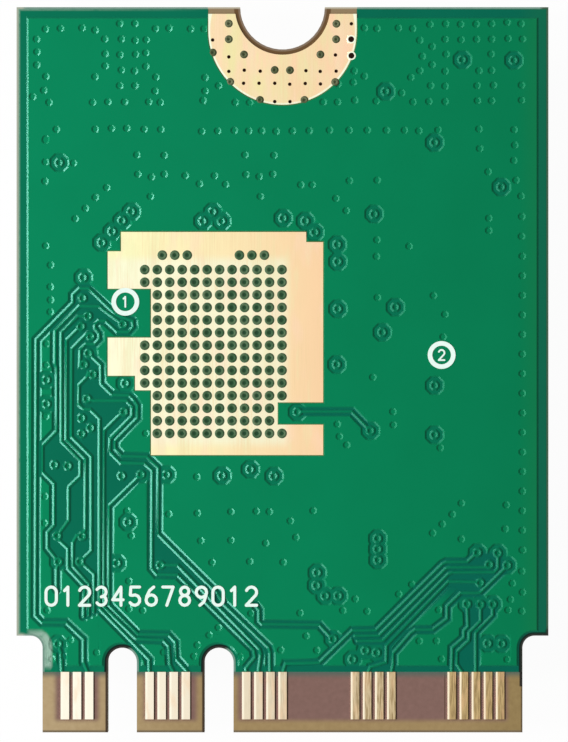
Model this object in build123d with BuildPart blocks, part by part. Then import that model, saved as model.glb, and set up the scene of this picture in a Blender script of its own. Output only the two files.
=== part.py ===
"""Laptop wifi card: an M.2 type 2230 board with the A and E keys, lying on its shield can.

The bare back faces up. +X runs to the right of the bare back, +Y towards the screw notch, +Z away
from the component side. The origin is the middle of the board on the plane that the can rests on.
All sizes are in millimetres.
"""
import os
from math import hypot

from build123d import *

os.makedirs("parts", exist_ok=True)

# Board outline
BOARD_WIDTH = 22.0
BOARD_LENGTH = 30.0
SHOULDER_WIDTH = 1.075
TONGUE_LENGTH = 4.0
TONGUE_CORNER_RADIUS = 0.5
SCREW_NOTCH_RADIUS = 1.75
KEY_WIDTH = 1.2
KEY_DEPTH = 3.5

# Edge contacts: pins at one pitch on each side, the two sides half a pitch apart
PIN_STEP = 0.25
PIN_COUNT = 75
KEY_A_MIDDLE_PIN = 11.5
KEY_E_MIDDLE_PIN = 27.5
BACK_PIN_RUNS = ((2, 6), (16, 22), (32, 38), (50, 56), (66, 74))
FRONT_PIN_RUNS = ((1, 7), (17, 23), (33, 75))
CONTACT_WIDTH = 0.35
CONTACT_END_GAP = 0.54
CONTACT_ZONE_LENGTH = 2.5

# Layers, from the plane that the can rests on
CAN_HEIGHT = 1.4
LAYER_THICKNESS = 0.05
LAMINATE_THICKNESS = 0.7
COPPER_THICKNESS = 0.035
INK_THICKNESS = 0.015
MASK_PULLBACK = 0.08

# Gold half ring round the screw notch
SCREW_PAD_RADIUS = 3.07
SCREW_PAD_CENTRE_DROP = 0.97
SCREW_PAD_TOP_DROP = 0.28
SCREW_PAD_BORE_MARGIN = 0.22

# Gold ground pad: a column, a head above it, two lobes and a foot at its left, a slot at its right
PAD_LEFT = -5.44
PAD_RIGHT = 1.68
PAD_BOTTOM = -3.53
PAD_TOP = 5.28
HEAD_LEFT = -6.68
HEAD_RIGHT = 0.98
HEAD_BOTTOM = 4.9
HEAD_TOP = 5.7
LOBE_LEFT = -7.23
UPPER_LOBE_BOTTOM = 3.35
LOWER_LOBE_TOP = 1.33
LOWER_LOBE_BOTTOM = -0.25
FOOT_LEFT = -6.1
FOOT_BOTTOM = -0.85
SLOT_LEFT = -0.2
SLOT_TOP = -1.35
SLOT_BOTTOM = -2.27

# Heat vias in the ground pad, each closed by a dot of mask
DOT_RADIUS = 0.19
DOT_SIDES = 6
DOT_PITCH_X = 0.516
DOT_PITCH_Y = 0.521
DOT_COLUMNS = 12
DOT_ROWS = 14
DOT_RIGHT_X = -0.02
DOT_TOP_Y = 4.14
DOT_LEFT_COLUMN_ROWS = (0, 1, 6, 7, 8, 9)
DOT_SHORT_ROWS = (11, 12)
DOT_EXTRA_ROW_RISE = 0.6
DOT_EXTRA_ROW_STARTS = (-4.97, -1.78)
DOT_EXTRA_ROW_COUNT = 3

# Copper under the back mask, whose traces stand in channels of the pour. A bundle is the number of its
# traces, their pitch to the left of the way that they run, and the route of its first trace
TRACE_WIDTH = 0.11
TRACE_CLEARANCE = 0.11
CHANNEL_DEPTH = 0.03
TRACE_BUNDLES = {
    "left edge": (1, 0, (
        (-6.9, 2.28), (-8.1, 3.36), (-10.19, 1.25), (-10.19, -10.45), (-8.95, -10.45), (-8.1, -11.3),
        (-8.1, -12.6),
    )),
    "left guard": (1, 0, (
        (-7.59, 2.64), (-8.39, 2.64), (-9.38, 1.65), (-9.38, -2.55), (-9.93, -3.15), (-9.93, -4.22),
        (-9.44, -4.71), (-9.44, -9.1),
    )),
    "left bus": (3, 0.2, (
        (-8.45, 2.22), (-9.14, 1.55), (-9.14, -2.96), (-8.36, -3.74), (-8.36, -10.15),
    )),
    "left fan-out": (1, 0, (
        (-7.83, -0.19), (-8.43, -0.64), (-8.43, -1.2), (-7.57, -2.06), (-7.57, -9.9), (-5.5, -11.97),
        (-5.5, -12.6),
    )),
    "left pair": (2, 0.2, (
        (-6.55, -1.7), (-7.38, -2.53), (-7.38, -9.82), (-6.03, -11.17), (-4.93, -11.17), (-4.55, -12.6),
    )),
    "middle pair": (2, -0.25, (
        (-7.5, 0.2), (-7.5, -0.6), (-7.04, -1.06), (-5.99, -1.06), (-5.99, -2.0), (-6.94, -2.95),
        (-6.29, -3.6), (-5.6, -3.6), (-5.15, -4.05), (-5.15, -6.8), (-0.5, -11.45), (-0.5, -12.6),
    )),
    "middle branch": (1, 0, ((-5.04, -8.08), (-4.33, -8.08), (-1.0, -11.41), (-1.0, -12.6))),
    "key crossing": (1, 0, ((-0.93, -9.8), (-0.93, -10.55), (1.51, -10.55), (2.1, -11.14))),
    "right bus": (3, -0.21, ((2.9, -10.79), (3.87, -10.79), (6.7, -7.96), (8.2, -7.96))),
    "right fan-out": (1, 0, ((4.3, -12.6), (4.3, -11.4), (6.92, -8.78), (8.18, -8.78))),
    "right comb": (3, -0.5, ((7.0, -12.6), (7.0, -11.45), (7.62, -10.65), (7.62, -9.7))),
    "slot link": (1, 0, ((0.62, -1.81), (2.87, -1.81), (3.64, -2.52))),
}

# White printed rings
RING_RADIUS = 0.575
RING_SIDES = 20
RING_STROKE = 0.19
RING_PLACES = ((-6.5, 2.81), (6.58, 0.61))

# Shield can: a soldered fence and a lid that clips over it
SHEET_THICKNESS = 0.15
LID_EDGE_CHAMFER = 0.1
CAN_WIDTH = 20.5
CAN_TOP_Y = 10.2
CAN_BOTTOM_Y = -10.7
CAN_CORNER_RADIUS = 0.6
LID_FIT_CLEARANCE = 0.03
LID_SKIRT_HEIGHT = 0.9
LID_SLIT_WIDTH = 0.3
LID_SLIT_PITCH = 4.0
LID_SLIT_COUNT = 5
FENCE_FLANGE_WIDTH = 0.7
FENCE_FOOT_PITCH = 3.0
FENCE_FOOT_COUNT = 6
FENCE_FOOT_WIDTH = 1.8
FENCE_FOOT_HEIGHT = 0.2

# Antenna receptacles
ANTENNA_Y = 13.1
ANTENNA_SIDES = 16
ANTENNA_PLACES = {"left": -8.8, "middle": -4.25, "right": 4.3}
ANTENNA_RING_RADIUS = 0.75
ANTENNA_RING_WALL = 0.12
ANTENNA_HEIGHT = 0.6
ANTENNA_GROOVE_DEPTH = 0.04
ANTENNA_GROOVE_HEIGHT = 0.16
ANTENNA_BASE_HEIGHT = 0.12
ANTENNA_TAB_WIDTH = 0.5
ANTENNA_TAB_REACH = 1.0
ANTENNA_PIN_RADIUS = 0.13
ANTENNA_PIN_HEIGHT = 0.5
ANTENNA_PIN_SIDES = 8
ANTENNA_SEAT_RADIUS = 0.34
ANTENNA_SEAT_HEIGHT = 0.24

# Radio chip on its lead frame, over the ground pad
CHIP_X = -2.0
CHIP_Y = 0.9
CHIP_SIZE = 8.0
CHIP_BODY_HEIGHT = 0.8
CHIP_CHAMFER = 0.12
LEAD_THICKNESS = 0.05
LEAD_PITCH = 0.8
LEAD_WIDTH = 0.3
LEAD_LENGTH = 0.45
LEADS_PER_SIDE = 8
PADDLE_SIZE = 5.8
THERMAL_PAD_SIZE = 7.0
THERMAL_PAD_CORNER_CUT = 0.4

# Heights of the layers
COMPONENT_Z = CAN_HEIGHT
LAMINATE_BOTTOM_Z = CAN_HEIGHT + LAYER_THICKNESS
LAMINATE_TOP_Z = LAMINATE_BOTTOM_Z + LAMINATE_THICKNESS
MASK_TOP_Z = LAMINATE_TOP_Z + LAYER_THICKNESS
GOLD_TOP_Z = LAMINATE_TOP_Z + COPPER_THICKNESS

# Places along the board
TONGUE_WIDTH = BOARD_WIDTH - 2 * SHOULDER_WIDTH
TOP_Y = BOARD_LENGTH / 2
BOTTOM_Y = -BOARD_LENGTH / 2
SHOULDER_Y = BOTTOM_Y + TONGUE_LENGTH
CONTACT_ZONE_TOP_Y = BOTTOM_Y + CONTACT_ZONE_LENGTH
SCREW_PAD_CENTRE_Y = TOP_Y - SCREW_PAD_CENTRE_DROP


def pin_x(pin):
    """Place of a pin, counted from 1 at the left of the bare back; half pins are between two."""
    return (pin - (PIN_COUNT + 1) / 2) * PIN_STEP


def block(x_low, x_high, y_low, y_high, mode=Mode.ADD):
    """Rectangle of the sketch in hand, given by its four edges."""
    with Locations(((x_low + x_high) / 2, (y_low + y_high) / 2)):
        Rectangle(x_high - x_low, y_high - y_low, mode=mode)


def board_face(inset):
    """Board outline with its tongue, keys and screw notch, drawn in from its edges by the inset."""
    half_width = BOARD_WIDTH / 2 - inset
    half_tongue = TONGUE_WIDTH / 2 - inset
    key_radius = KEY_WIDTH / 2 + inset
    key_centre_y = BOTTOM_Y + KEY_DEPTH - KEY_WIDTH / 2
    with BuildSketch() as face:
        block(-half_width, half_width, SHOULDER_Y + inset, TOP_Y - inset)
        block(-half_tongue, half_tongue, BOTTOM_Y + inset, TOP_Y - inset)
        shoulder_corners = face.vertices().group_by(Axis.Y)[1].sort_by(Axis.X)
        fillet(shoulder_corners[1:-1], TONGUE_CORNER_RADIUS + inset)
        for middle_pin in (KEY_A_MIDDLE_PIN, KEY_E_MIDDLE_PIN):
            with Locations((pin_x(middle_pin), key_centre_y)):
                Circle(key_radius, mode=Mode.SUBTRACT)
            key_left = pin_x(middle_pin) - key_radius
            block(key_left, key_left + 2 * key_radius, BOTTOM_Y, key_centre_y, mode=Mode.SUBTRACT)
        with Locations((0, TOP_Y)):
            Circle(SCREW_NOTCH_RADIUS + inset, mode=Mode.SUBTRACT)
    return face.sketch


def screw_window_face(top_y):
    """Round-bottomed field round the screw notch, with straight sides up to top_y."""
    low_y = SCREW_PAD_CENTRE_Y - SCREW_PAD_RADIUS
    with BuildSketch() as face:
        with Locations((0, SCREW_PAD_CENTRE_Y)):
            Circle(SCREW_PAD_RADIUS)
        block(-SCREW_PAD_RADIUS, SCREW_PAD_RADIUS, SCREW_PAD_CENTRE_Y, top_y)
        block(-SCREW_PAD_RADIUS, SCREW_PAD_RADIUS, low_y, top_y, mode=Mode.INTERSECT)
    return face.sketch


def screw_pad_face():
    """Gold half ring, clear of the notch and of the board's top edge."""
    with BuildSketch() as face:
        add(screw_window_face(TOP_Y - SCREW_PAD_TOP_DROP))
        with Locations((0, TOP_Y)):
            Circle(SCREW_NOTCH_RADIUS + SCREW_PAD_BORE_MARGIN, mode=Mode.SUBTRACT)
    return face.sketch


def ground_pad_face():
    """Notched outline of the ground pad."""
    with BuildSketch() as face:
        block(PAD_LEFT, PAD_RIGHT, PAD_BOTTOM, PAD_TOP)
        block(HEAD_LEFT, HEAD_RIGHT, HEAD_BOTTOM, HEAD_TOP)
        block(LOBE_LEFT, PAD_LEFT, UPPER_LOBE_BOTTOM, HEAD_BOTTOM)
        block(LOBE_LEFT, PAD_LEFT, LOWER_LOBE_BOTTOM, LOWER_LOBE_TOP)
        block(FOOT_LEFT, PAD_LEFT, FOOT_BOTTOM, LOWER_LOBE_BOTTOM)
        block(SLOT_LEFT, PAD_RIGHT, SLOT_BOTTOM, SLOT_TOP, mode=Mode.SUBTRACT)
    return face.sketch


def contacts_face(pin_runs):
    """Rows of edge contacts, every second pin of each run that the tongue has room for."""
    contact_bottom_y = BOTTOM_Y + CONTACT_END_GAP
    pins = [pin for first, last in pin_runs for pin in range(first, last + 1, 2)]
    with BuildSketch() as face:
        for pin in pins:
            if abs(pin_x(pin)) + CONTACT_WIDTH < TONGUE_WIDTH / 2:
                left = pin_x(pin) - CONTACT_WIDTH / 2
                block(left, left + CONTACT_WIDTH, contact_bottom_y, CONTACT_ZONE_TOP_Y)
    return face.sketch


def mask_face():
    """Mask over the board, open at the screw pad and below the contact zone's top."""
    with BuildSketch() as face:
        add(board_face(MASK_PULLBACK))
        add(screw_window_face(TOP_Y + SCREW_NOTCH_RADIUS), mode=Mode.SUBTRACT)
        block(-BOARD_WIDTH / 2, BOARD_WIDTH / 2, BOTTOM_Y, CONTACT_ZONE_TOP_Y, mode=Mode.SUBTRACT)
    return face.sketch


def beside(route, distance):
    """Route moved sideways, to the left of the way that it runs, with its corners mitred."""
    runs = []
    for start, end in zip(route[:-1], route[1:]):
        length = hypot(end[0] - start[0], end[1] - start[1])
        runs.append(((end[0] - start[0]) / length, (end[1] - start[1]) / length))
    moved = []
    for (x, y), before, after in zip(route, runs[:1] + runs, runs + runs[-1:]):
        normal_x = -(before[1] + after[1])
        normal_y = before[0] + after[0]
        reach = distance / (normal_y * before[0] - normal_x * before[1])
        moved.append((x + normal_x * reach, y + normal_y * reach))
    return moved


def traces_face(half_width):
    """Strips of one width along every trace of every bundle."""
    with BuildSketch() as face:
        for count, pitch, route in TRACE_BUNDLES.values():
            for step in range(count):
                middle = beside(route, step * pitch)
                with BuildLine():
                    Polyline(*beside(middle, half_width), *reversed(beside(middle, -half_width)), close=True)
                make_face()
    return face.sketch


def dot_places():
    """Places of the heat vias, row by row from the top right of the grid."""
    places = []
    for row in range(DOT_ROWS):
        y = DOT_TOP_Y - row * DOT_PITCH_Y
        for column in range(DOT_COLUMNS):
            x = DOT_RIGHT_X - column * DOT_PITCH_X
            in_left_gap = column == DOT_COLUMNS - 1 and row not in DOT_LEFT_COLUMN_ROWS
            in_right_gap = column == 0 and row in DOT_SHORT_ROWS
            if not in_left_gap and not in_right_gap:
                places.append((x, y))
    for start_x in DOT_EXTRA_ROW_STARTS:
        for step in range(DOT_EXTRA_ROW_COUNT):
            places.append((start_x + step * DOT_PITCH_X, DOT_TOP_Y + DOT_EXTRA_ROW_RISE))
    return places


# Laminate board
with BuildPart() as laminate_board:
    with BuildSketch(Plane.XY.offset(LAMINATE_BOTTOM_Z)):
        add(board_face(0))
    extrude(amount=LAMINATE_THICKNESS)
laminate_board.part.label = "laminate_board"
export_step(laminate_board.part, "parts/laminate_board.step")

# Mask on the bare back, open over the ground pad, sunk between the copper pour and its traces
with BuildPart() as back_solder_mask:
    with BuildSketch(Plane.XY.offset(LAMINATE_TOP_Z)):
        add(mask_face())
        add(ground_pad_face(), mode=Mode.SUBTRACT)
    extrude(amount=LAYER_THICKNESS)
    with BuildSketch(Plane.XY.offset(MASK_TOP_Z)):
        add(traces_face(TRACE_WIDTH / 2 + TRACE_CLEARANCE))
        add(traces_face(TRACE_WIDTH / 2), mode=Mode.SUBTRACT)
    extrude(amount=-CHANNEL_DEPTH, mode=Mode.SUBTRACT)
back_solder_mask.part.label = "back_solder_mask"
export_step(back_solder_mask.part, "parts/back_solder_mask.step")

# Mask on the component side
with BuildPart() as front_solder_mask:
    with BuildSketch(Plane.XY.offset(LAMINATE_BOTTOM_Z)):
        add(mask_face())
    extrude(amount=-LAYER_THICKNESS)
front_solder_mask.part.label = "front_solder_mask"
export_step(front_solder_mask.part, "parts/front_solder_mask.step")

# Ground pad
with BuildPart() as back_ground_pad:
    with BuildSketch(Plane.XY.offset(LAMINATE_TOP_Z)):
        add(ground_pad_face())
    extrude(amount=COPPER_THICKNESS)
back_ground_pad.part.label = "back_ground_pad"
export_step(back_ground_pad.part, "parts/back_ground_pad.step")

# Mask dots over the heat vias, level with the mask
with BuildPart() as back_via_dots:
    with BuildSketch(Plane.XY.offset(GOLD_TOP_Z)):
        with Locations(*dot_places()):
            RegularPolygon(DOT_RADIUS, DOT_SIDES)
    extrude(amount=LAYER_THICKNESS - COPPER_THICKNESS)
back_via_dots.part.label = "back_via_dots"
export_step(back_via_dots.part, "parts/back_via_dots.step")

# Screw pads, one on each side of the board
with BuildPart() as back_screw_pad:
    with BuildSketch(Plane.XY.offset(LAMINATE_TOP_Z)):
        add(screw_pad_face())
    extrude(amount=COPPER_THICKNESS)
back_screw_pad.part.label = "back_screw_pad"
export_step(back_screw_pad.part, "parts/back_screw_pad.step")

with BuildPart() as front_screw_pad:
    with BuildSketch(Plane.XY.offset(LAMINATE_BOTTOM_Z)):
        add(screw_pad_face())
    extrude(amount=-COPPER_THICKNESS)
front_screw_pad.part.label = "front_screw_pad"
export_step(front_screw_pad.part, "parts/front_screw_pad.step")

# Edge contacts, one row on each side of the board
with BuildPart() as back_edge_contacts:
    with BuildSketch(Plane.XY.offset(LAMINATE_TOP_Z)):
        add(contacts_face(BACK_PIN_RUNS))
    extrude(amount=COPPER_THICKNESS)
back_edge_contacts.part.label = "back_edge_contacts"
export_step(back_edge_contacts.part, "parts/back_edge_contacts.step")

with BuildPart() as front_edge_contacts:
    with BuildSketch(Plane.XY.offset(LAMINATE_BOTTOM_Z)):
        add(contacts_face(FRONT_PIN_RUNS))
    extrude(amount=-COPPER_THICKNESS)
front_edge_contacts.part.label = "front_edge_contacts"
export_step(front_edge_contacts.part, "parts/front_edge_contacts.step")

# White rings printed on the mask
with BuildPart() as test_point_rings:
    with BuildSketch(Plane.XY.offset(MASK_TOP_Z)):
        with Locations(*RING_PLACES):
            RegularPolygon(RING_RADIUS, RING_SIDES)
            RegularPolygon(RING_RADIUS - RING_STROKE, RING_SIDES, mode=Mode.SUBTRACT)
    extrude(amount=INK_THICKNESS)
test_point_rings.part.label = "test_point_rings"
export_step(test_point_rings.part, "parts/test_point_rings.step")

# Shield fence: a folded wall with an inward flange, open feet between its solder tabs
FENCE_WIDTH = CAN_WIDTH - 2 * (SHEET_THICKNESS + LID_FIT_CLEARANCE)
FENCE_LENGTH = CAN_TOP_Y - CAN_BOTTOM_Y - 2 * (SHEET_THICKNESS + LID_FIT_CLEARANCE)
CAN_CENTRE_Y = (CAN_TOP_Y + CAN_BOTTOM_Y) / 2
FENCE_CORNER_RADIUS = CAN_CORNER_RADIUS - SHEET_THICKNESS - LID_FIT_CLEARANCE
FENCE_HEIGHT = CAN_HEIGHT - SHEET_THICKNESS
with BuildPart() as shield_fence:
    with BuildSketch(Plane.XY.offset(SHEET_THICKNESS)):
        with Locations((0, CAN_CENTRE_Y)):
            RectangleRounded(FENCE_WIDTH, FENCE_LENGTH, FENCE_CORNER_RADIUS)
    extrude(amount=FENCE_HEIGHT)
    with BuildSketch(Plane.XY.offset(2 * SHEET_THICKNESS)):
        with Locations((0, CAN_CENTRE_Y)):
            inner_width = FENCE_WIDTH - 2 * SHEET_THICKNESS
            inner_length = FENCE_LENGTH - 2 * SHEET_THICKNESS
            Rectangle(inner_width, inner_length)
    extrude(amount=FENCE_HEIGHT, mode=Mode.SUBTRACT)
    with BuildSketch(Plane.XY.offset(SHEET_THICKNESS)):
        with Locations((0, CAN_CENTRE_Y)):
            window_width = FENCE_WIDTH - 2 * FENCE_FLANGE_WIDTH
            window_length = FENCE_LENGTH - 2 * FENCE_FLANGE_WIDTH
            Rectangle(window_width, window_length)
    extrude(amount=SHEET_THICKNESS, mode=Mode.SUBTRACT)
    with BuildSketch(Plane.XY.offset(COMPONENT_Z)):
        gap_width = FENCE_FOOT_PITCH - FENCE_FOOT_WIDTH
        with Locations((0, CAN_CENTRE_Y)):
            with GridLocations(FENCE_FOOT_PITCH, 0, FENCE_FOOT_COUNT, 1):
                Rectangle(gap_width, FENCE_LENGTH + SHEET_THICKNESS)
            with GridLocations(0, FENCE_FOOT_PITCH, 1, FENCE_FOOT_COUNT):
                Rectangle(FENCE_WIDTH + SHEET_THICKNESS, gap_width)
    extrude(amount=-FENCE_FOOT_HEIGHT, mode=Mode.SUBTRACT)
shield_fence.part.label = "shield_fence"
export_step(shield_fence.part, "parts/shield_fence.step")

# Shield cover: a drawn lid with a slit skirt round the fence
with BuildPart() as shield_cover:
    with BuildSketch():
        with Locations((0, CAN_CENTRE_Y)):
            RectangleRounded(CAN_WIDTH, CAN_TOP_Y - CAN_BOTTOM_Y, CAN_CORNER_RADIUS)
    extrude(amount=SHEET_THICKNESS + LID_SKIRT_HEIGHT)
    lid_rim = shield_cover.edges().group_by(Axis.Z)[0]
    chamfer(lid_rim, LID_EDGE_CHAMFER)
    with BuildSketch(Plane.XY.offset(SHEET_THICKNESS)):
        with Locations((0, CAN_CENTRE_Y)):
            hollow_width = CAN_WIDTH - 2 * SHEET_THICKNESS
            hollow_length = CAN_TOP_Y - CAN_BOTTOM_Y - 2 * SHEET_THICKNESS
            RectangleRounded(hollow_width, hollow_length, CAN_CORNER_RADIUS - SHEET_THICKNESS)
    extrude(amount=LID_SKIRT_HEIGHT, mode=Mode.SUBTRACT)
    with BuildSketch(Plane.XY.offset(2 * SHEET_THICKNESS)):
        with Locations((0, CAN_CENTRE_Y)):
            with GridLocations(LID_SLIT_PITCH, 0, LID_SLIT_COUNT, 1):
                Rectangle(LID_SLIT_WIDTH, CAN_TOP_Y - CAN_BOTTOM_Y + SHEET_THICKNESS)
            with GridLocations(0, LID_SLIT_PITCH, 1, LID_SLIT_COUNT):
                Rectangle(CAN_WIDTH + SHEET_THICKNESS, LID_SLIT_WIDTH)
    extrude(amount=LID_SKIRT_HEIGHT, mode=Mode.SUBTRACT)
shield_cover.part.label = "shield_cover"
export_step(shield_cover.part, "parts/shield_cover.step")

# Antenna receptacles: an insulator on the board, a grooved ring contact round it, a pin in its middle
for side, antenna_x in ANTENNA_PLACES.items():
    board_plane = Plane((antenna_x, ANTENNA_Y, COMPONENT_Z), z_dir=(0, 0, -1))
    ring_bore_radius = ANTENNA_RING_RADIUS - ANTENNA_RING_WALL

    with BuildPart() as antenna_shell:
        with BuildSketch(board_plane):
            RegularPolygon(ANTENNA_RING_RADIUS, ANTENNA_SIDES)
            with PolarLocations(0, 4):
                with Locations((ANTENNA_TAB_REACH / 2, 0)):
                    Rectangle(ANTENNA_TAB_REACH, ANTENNA_TAB_WIDTH)
            RegularPolygon(ring_bore_radius, ANTENNA_SIDES, mode=Mode.SUBTRACT)
        extrude(amount=ANTENNA_BASE_HEIGHT)
        with BuildSketch(board_plane.offset(ANTENNA_BASE_HEIGHT)):
            RegularPolygon(ANTENNA_RING_RADIUS - ANTENNA_GROOVE_DEPTH, ANTENNA_SIDES)
            RegularPolygon(ring_bore_radius, ANTENNA_SIDES, mode=Mode.SUBTRACT)
        extrude(amount=ANTENNA_GROOVE_HEIGHT)
        with BuildSketch(board_plane.offset(ANTENNA_BASE_HEIGHT + ANTENNA_GROOVE_HEIGHT)):
            RegularPolygon(ANTENNA_RING_RADIUS, ANTENNA_SIDES)
            RegularPolygon(ring_bore_radius, ANTENNA_SIDES, mode=Mode.SUBTRACT)
        extrude(amount=ANTENNA_HEIGHT - ANTENNA_BASE_HEIGHT - ANTENNA_GROOVE_HEIGHT)
    antenna_shell.part.label = f"{side}_antenna_shell"
    export_step(antenna_shell.part, f"parts/{side}_antenna_shell.step")

    with BuildPart() as antenna_insulator:
        with BuildSketch(board_plane):
            RegularPolygon(ring_bore_radius, ANTENNA_SIDES)
            RegularPolygon(ANTENNA_PIN_RADIUS, ANTENNA_PIN_SIDES, mode=Mode.SUBTRACT)
        extrude(amount=ANTENNA_BASE_HEIGHT)
        with BuildSketch(board_plane.offset(ANTENNA_BASE_HEIGHT)):
            RegularPolygon(ANTENNA_SEAT_RADIUS, ANTENNA_PIN_SIDES)
            RegularPolygon(ANTENNA_PIN_RADIUS, ANTENNA_PIN_SIDES, mode=Mode.SUBTRACT)
        extrude(amount=ANTENNA_SEAT_HEIGHT - ANTENNA_BASE_HEIGHT)
    antenna_insulator.part.label = f"{side}_antenna_insulator"
    export_step(antenna_insulator.part, f"parts/{side}_antenna_insulator.step")

    with BuildPart() as antenna_pin:
        with BuildSketch(board_plane):
            RegularPolygon(ANTENNA_PIN_RADIUS, ANTENNA_PIN_SIDES)
        extrude(amount=ANTENNA_PIN_HEIGHT)
    antenna_pin.part.label = f"{side}_antenna_pin"
    export_step(antenna_pin.part, f"parts/{side}_antenna_pin.step")

# Radio chip: lead frame on the board, moulded body on the lead frame
chip_plane = Plane((CHIP_X, CHIP_Y, COMPONENT_Z), z_dir=(0, 0, -1))
with BuildPart() as radio_chip_leads:
    with BuildSketch(chip_plane):
        Rectangle(PADDLE_SIZE, PADDLE_SIZE)
        lead_row_offset = (CHIP_SIZE - LEAD_LENGTH) / 2
        for turn in range(4):
            with Locations(Location((0, 0), 90 * turn)):
                with Locations((0, lead_row_offset)):
                    with GridLocations(LEAD_PITCH, 0, LEADS_PER_SIDE, 1):
                        Rectangle(LEAD_WIDTH, LEAD_LENGTH)
    extrude(amount=LEAD_THICKNESS)
radio_chip_leads.part.label = "radio_chip_leads"
export_step(radio_chip_leads.part, "parts/radio_chip_leads.step")

with BuildPart() as radio_chip_body:
    with BuildSketch(chip_plane.offset(LEAD_THICKNESS)):
        Rectangle(CHIP_SIZE, CHIP_SIZE)
    extrude(amount=CHIP_BODY_HEIGHT)
    chamfer(radio_chip_body.edges().group_by(Axis.Z)[0], CHIP_CHAMFER)
radio_chip_body.part.label = "radio_chip_body"
export_step(radio_chip_body.part, "parts/radio_chip_body.step")

# Soft pad that fills the space between the chip and the cover
chip_top_offset = LEAD_THICKNESS + CHIP_BODY_HEIGHT
with BuildPart() as thermal_pad:
    with BuildSketch(chip_plane.offset(chip_top_offset)) as pad_outline:
        Rectangle(THERMAL_PAD_SIZE, THERMAL_PAD_SIZE)
        chamfer(pad_outline.vertices(), THERMAL_PAD_CORNER_CUT)
    extrude(amount=CAN_HEIGHT - SHEET_THICKNESS - chip_top_offset)
thermal_pad.part.label = "thermal_pad"
export_step(thermal_pad.part, "parts/thermal_pad.step")

# Plain moulded modules: centre, width, length and height
MODULES = {
    "left_front_end_module": ((-6.6, 7.6), (3.0, 2.5, 0.75)),
    "right_front_end_module": ((4.3, 7.6), (3.0, 2.5, 0.75)),
    "flash_memory": ((5.2, -5.2), (3.0, 2.0, 0.6)),
    "voltage_regulator": ((6.6, -1.2), (2.0, 2.0, 0.75)),
}
MODULE_CHAMFER = 0.08
PIN_ONE_CHAMFER = 0.2
for label, (centre, size) in MODULES.items():
    with BuildPart() as module:
        with BuildSketch(Plane((centre[0], centre[1], COMPONENT_Z), z_dir=(0, 0, -1))) as outline:
            Rectangle(size[0], size[1])
            pin_one_corner = outline.vertices().group_by(Axis.X)[0].sort_by(Axis.Y)[0]
            chamfer(pin_one_corner, PIN_ONE_CHAMFER)
        extrude(amount=size[2])
        chamfer(module.edges().group_by(Axis.Z)[0], MODULE_CHAMFER)
    module.part.label = label
    export_step(module.part, f"parts/{label}.step")

# Ceramic filters between the front-end modules and the antennas
FILTER_PLACES = {"left_diplexer": (-8.9, 7.6), "right_diplexer": (7.4, 7.6)}
FILTER_SIZE = (0.8, 1.6, 0.6)
for label, centre in FILTER_PLACES.items():
    with BuildPart() as diplexer:
        with BuildSketch(Plane((centre[0], centre[1], COMPONENT_Z), z_dir=(0, 0, -1))):
            Rectangle(FILTER_SIZE[0], FILTER_SIZE[1])
        extrude(amount=FILTER_SIZE[2])
    diplexer.part.label = label
    export_step(diplexer.part, f"parts/{label}.step")

# Clock crystal: a ceramic tray closed by a metal lid
CRYSTAL_PLACE = (4.6, 3.6)
CRYSTAL_WIDTH = 2.5
CRYSTAL_LENGTH = 2.0
CRYSTAL_BASE_HEIGHT = 0.45
CRYSTAL_LID_HEIGHT = 0.1
CRYSTAL_LID_MARGIN = 0.12
crystal_plane = Plane((CRYSTAL_PLACE[0], CRYSTAL_PLACE[1], COMPONENT_Z), z_dir=(0, 0, -1))
with BuildPart() as crystal_base:
    with BuildSketch(crystal_plane) as tray_outline:
        Rectangle(CRYSTAL_WIDTH, CRYSTAL_LENGTH)
        chamfer(tray_outline.vertices(), CRYSTAL_LID_MARGIN)
    extrude(amount=CRYSTAL_BASE_HEIGHT)
crystal_base.part.label = "crystal_base"
export_step(crystal_base.part, "parts/crystal_base.step")

with BuildPart() as crystal_lid:
    with BuildSketch(crystal_plane.offset(CRYSTAL_BASE_HEIGHT)) as lid_outline:
        lid_width = CRYSTAL_WIDTH - 2 * CRYSTAL_LID_MARGIN
        lid_length = CRYSTAL_LENGTH - 2 * CRYSTAL_LID_MARGIN
        Rectangle(lid_width, lid_length)
        chamfer(lid_outline.vertices(), CRYSTAL_LID_MARGIN)
    extrude(amount=CRYSTAL_LID_HEIGHT)
crystal_lid.part.label = "crystal_lid"
export_step(crystal_lid.part, "parts/crystal_lid.step")

# Moulded power inductors
INDUCTOR_PLACES = {"core_inductor": (6.4, -8.0), "radio_inductor": (3.2, -8.0)}
INDUCTOR_SIZE = (2.0, 1.6, 0.9)
INDUCTOR_CHAMFER = 0.15
for label, centre in INDUCTOR_PLACES.items():
    with BuildPart() as inductor:
        with BuildSketch(Plane((centre[0], centre[1], COMPONENT_Z), z_dir=(0, 0, -1))):
            Rectangle(INDUCTOR_SIZE[0], INDUCTOR_SIZE[1])
        extrude(amount=INDUCTOR_SIZE[2])
        chamfer(inductor.edges().filter_by(Axis.Z), INDUCTOR_CHAMFER)
    inductor.part.label = label
    export_step(inductor.part, f"parts/{label}.step")

# Chip capacitors and resistors: a body between two metal ends
CHIP_LENGTH = 1.0
CHIP_WIDTH = 0.5
CHIP_END_LENGTH = 0.25
CAPACITOR_HEIGHT = 0.5
RESISTOR_HEIGHT = 0.35
CAPACITOR_ROWS = (
    ((-2.0, 6.6), 1.3, 5),
    ((-2.0, -4.9), 1.3, 6),
    ((-6.2, -7.4), 1.4, 4),
    ((3.5, -1.2), 0, 1),
    ((7.9, 3.6), 0, 1),
)
RESISTOR_ROWS = (
    ((-7.9, 3.2), 0, 1),
    ((-7.9, 0.4), 0, 1),
    ((0.8, -7.4), 0, 1),
    ((5.0, 0.9), 1.5, 3),
)


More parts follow.
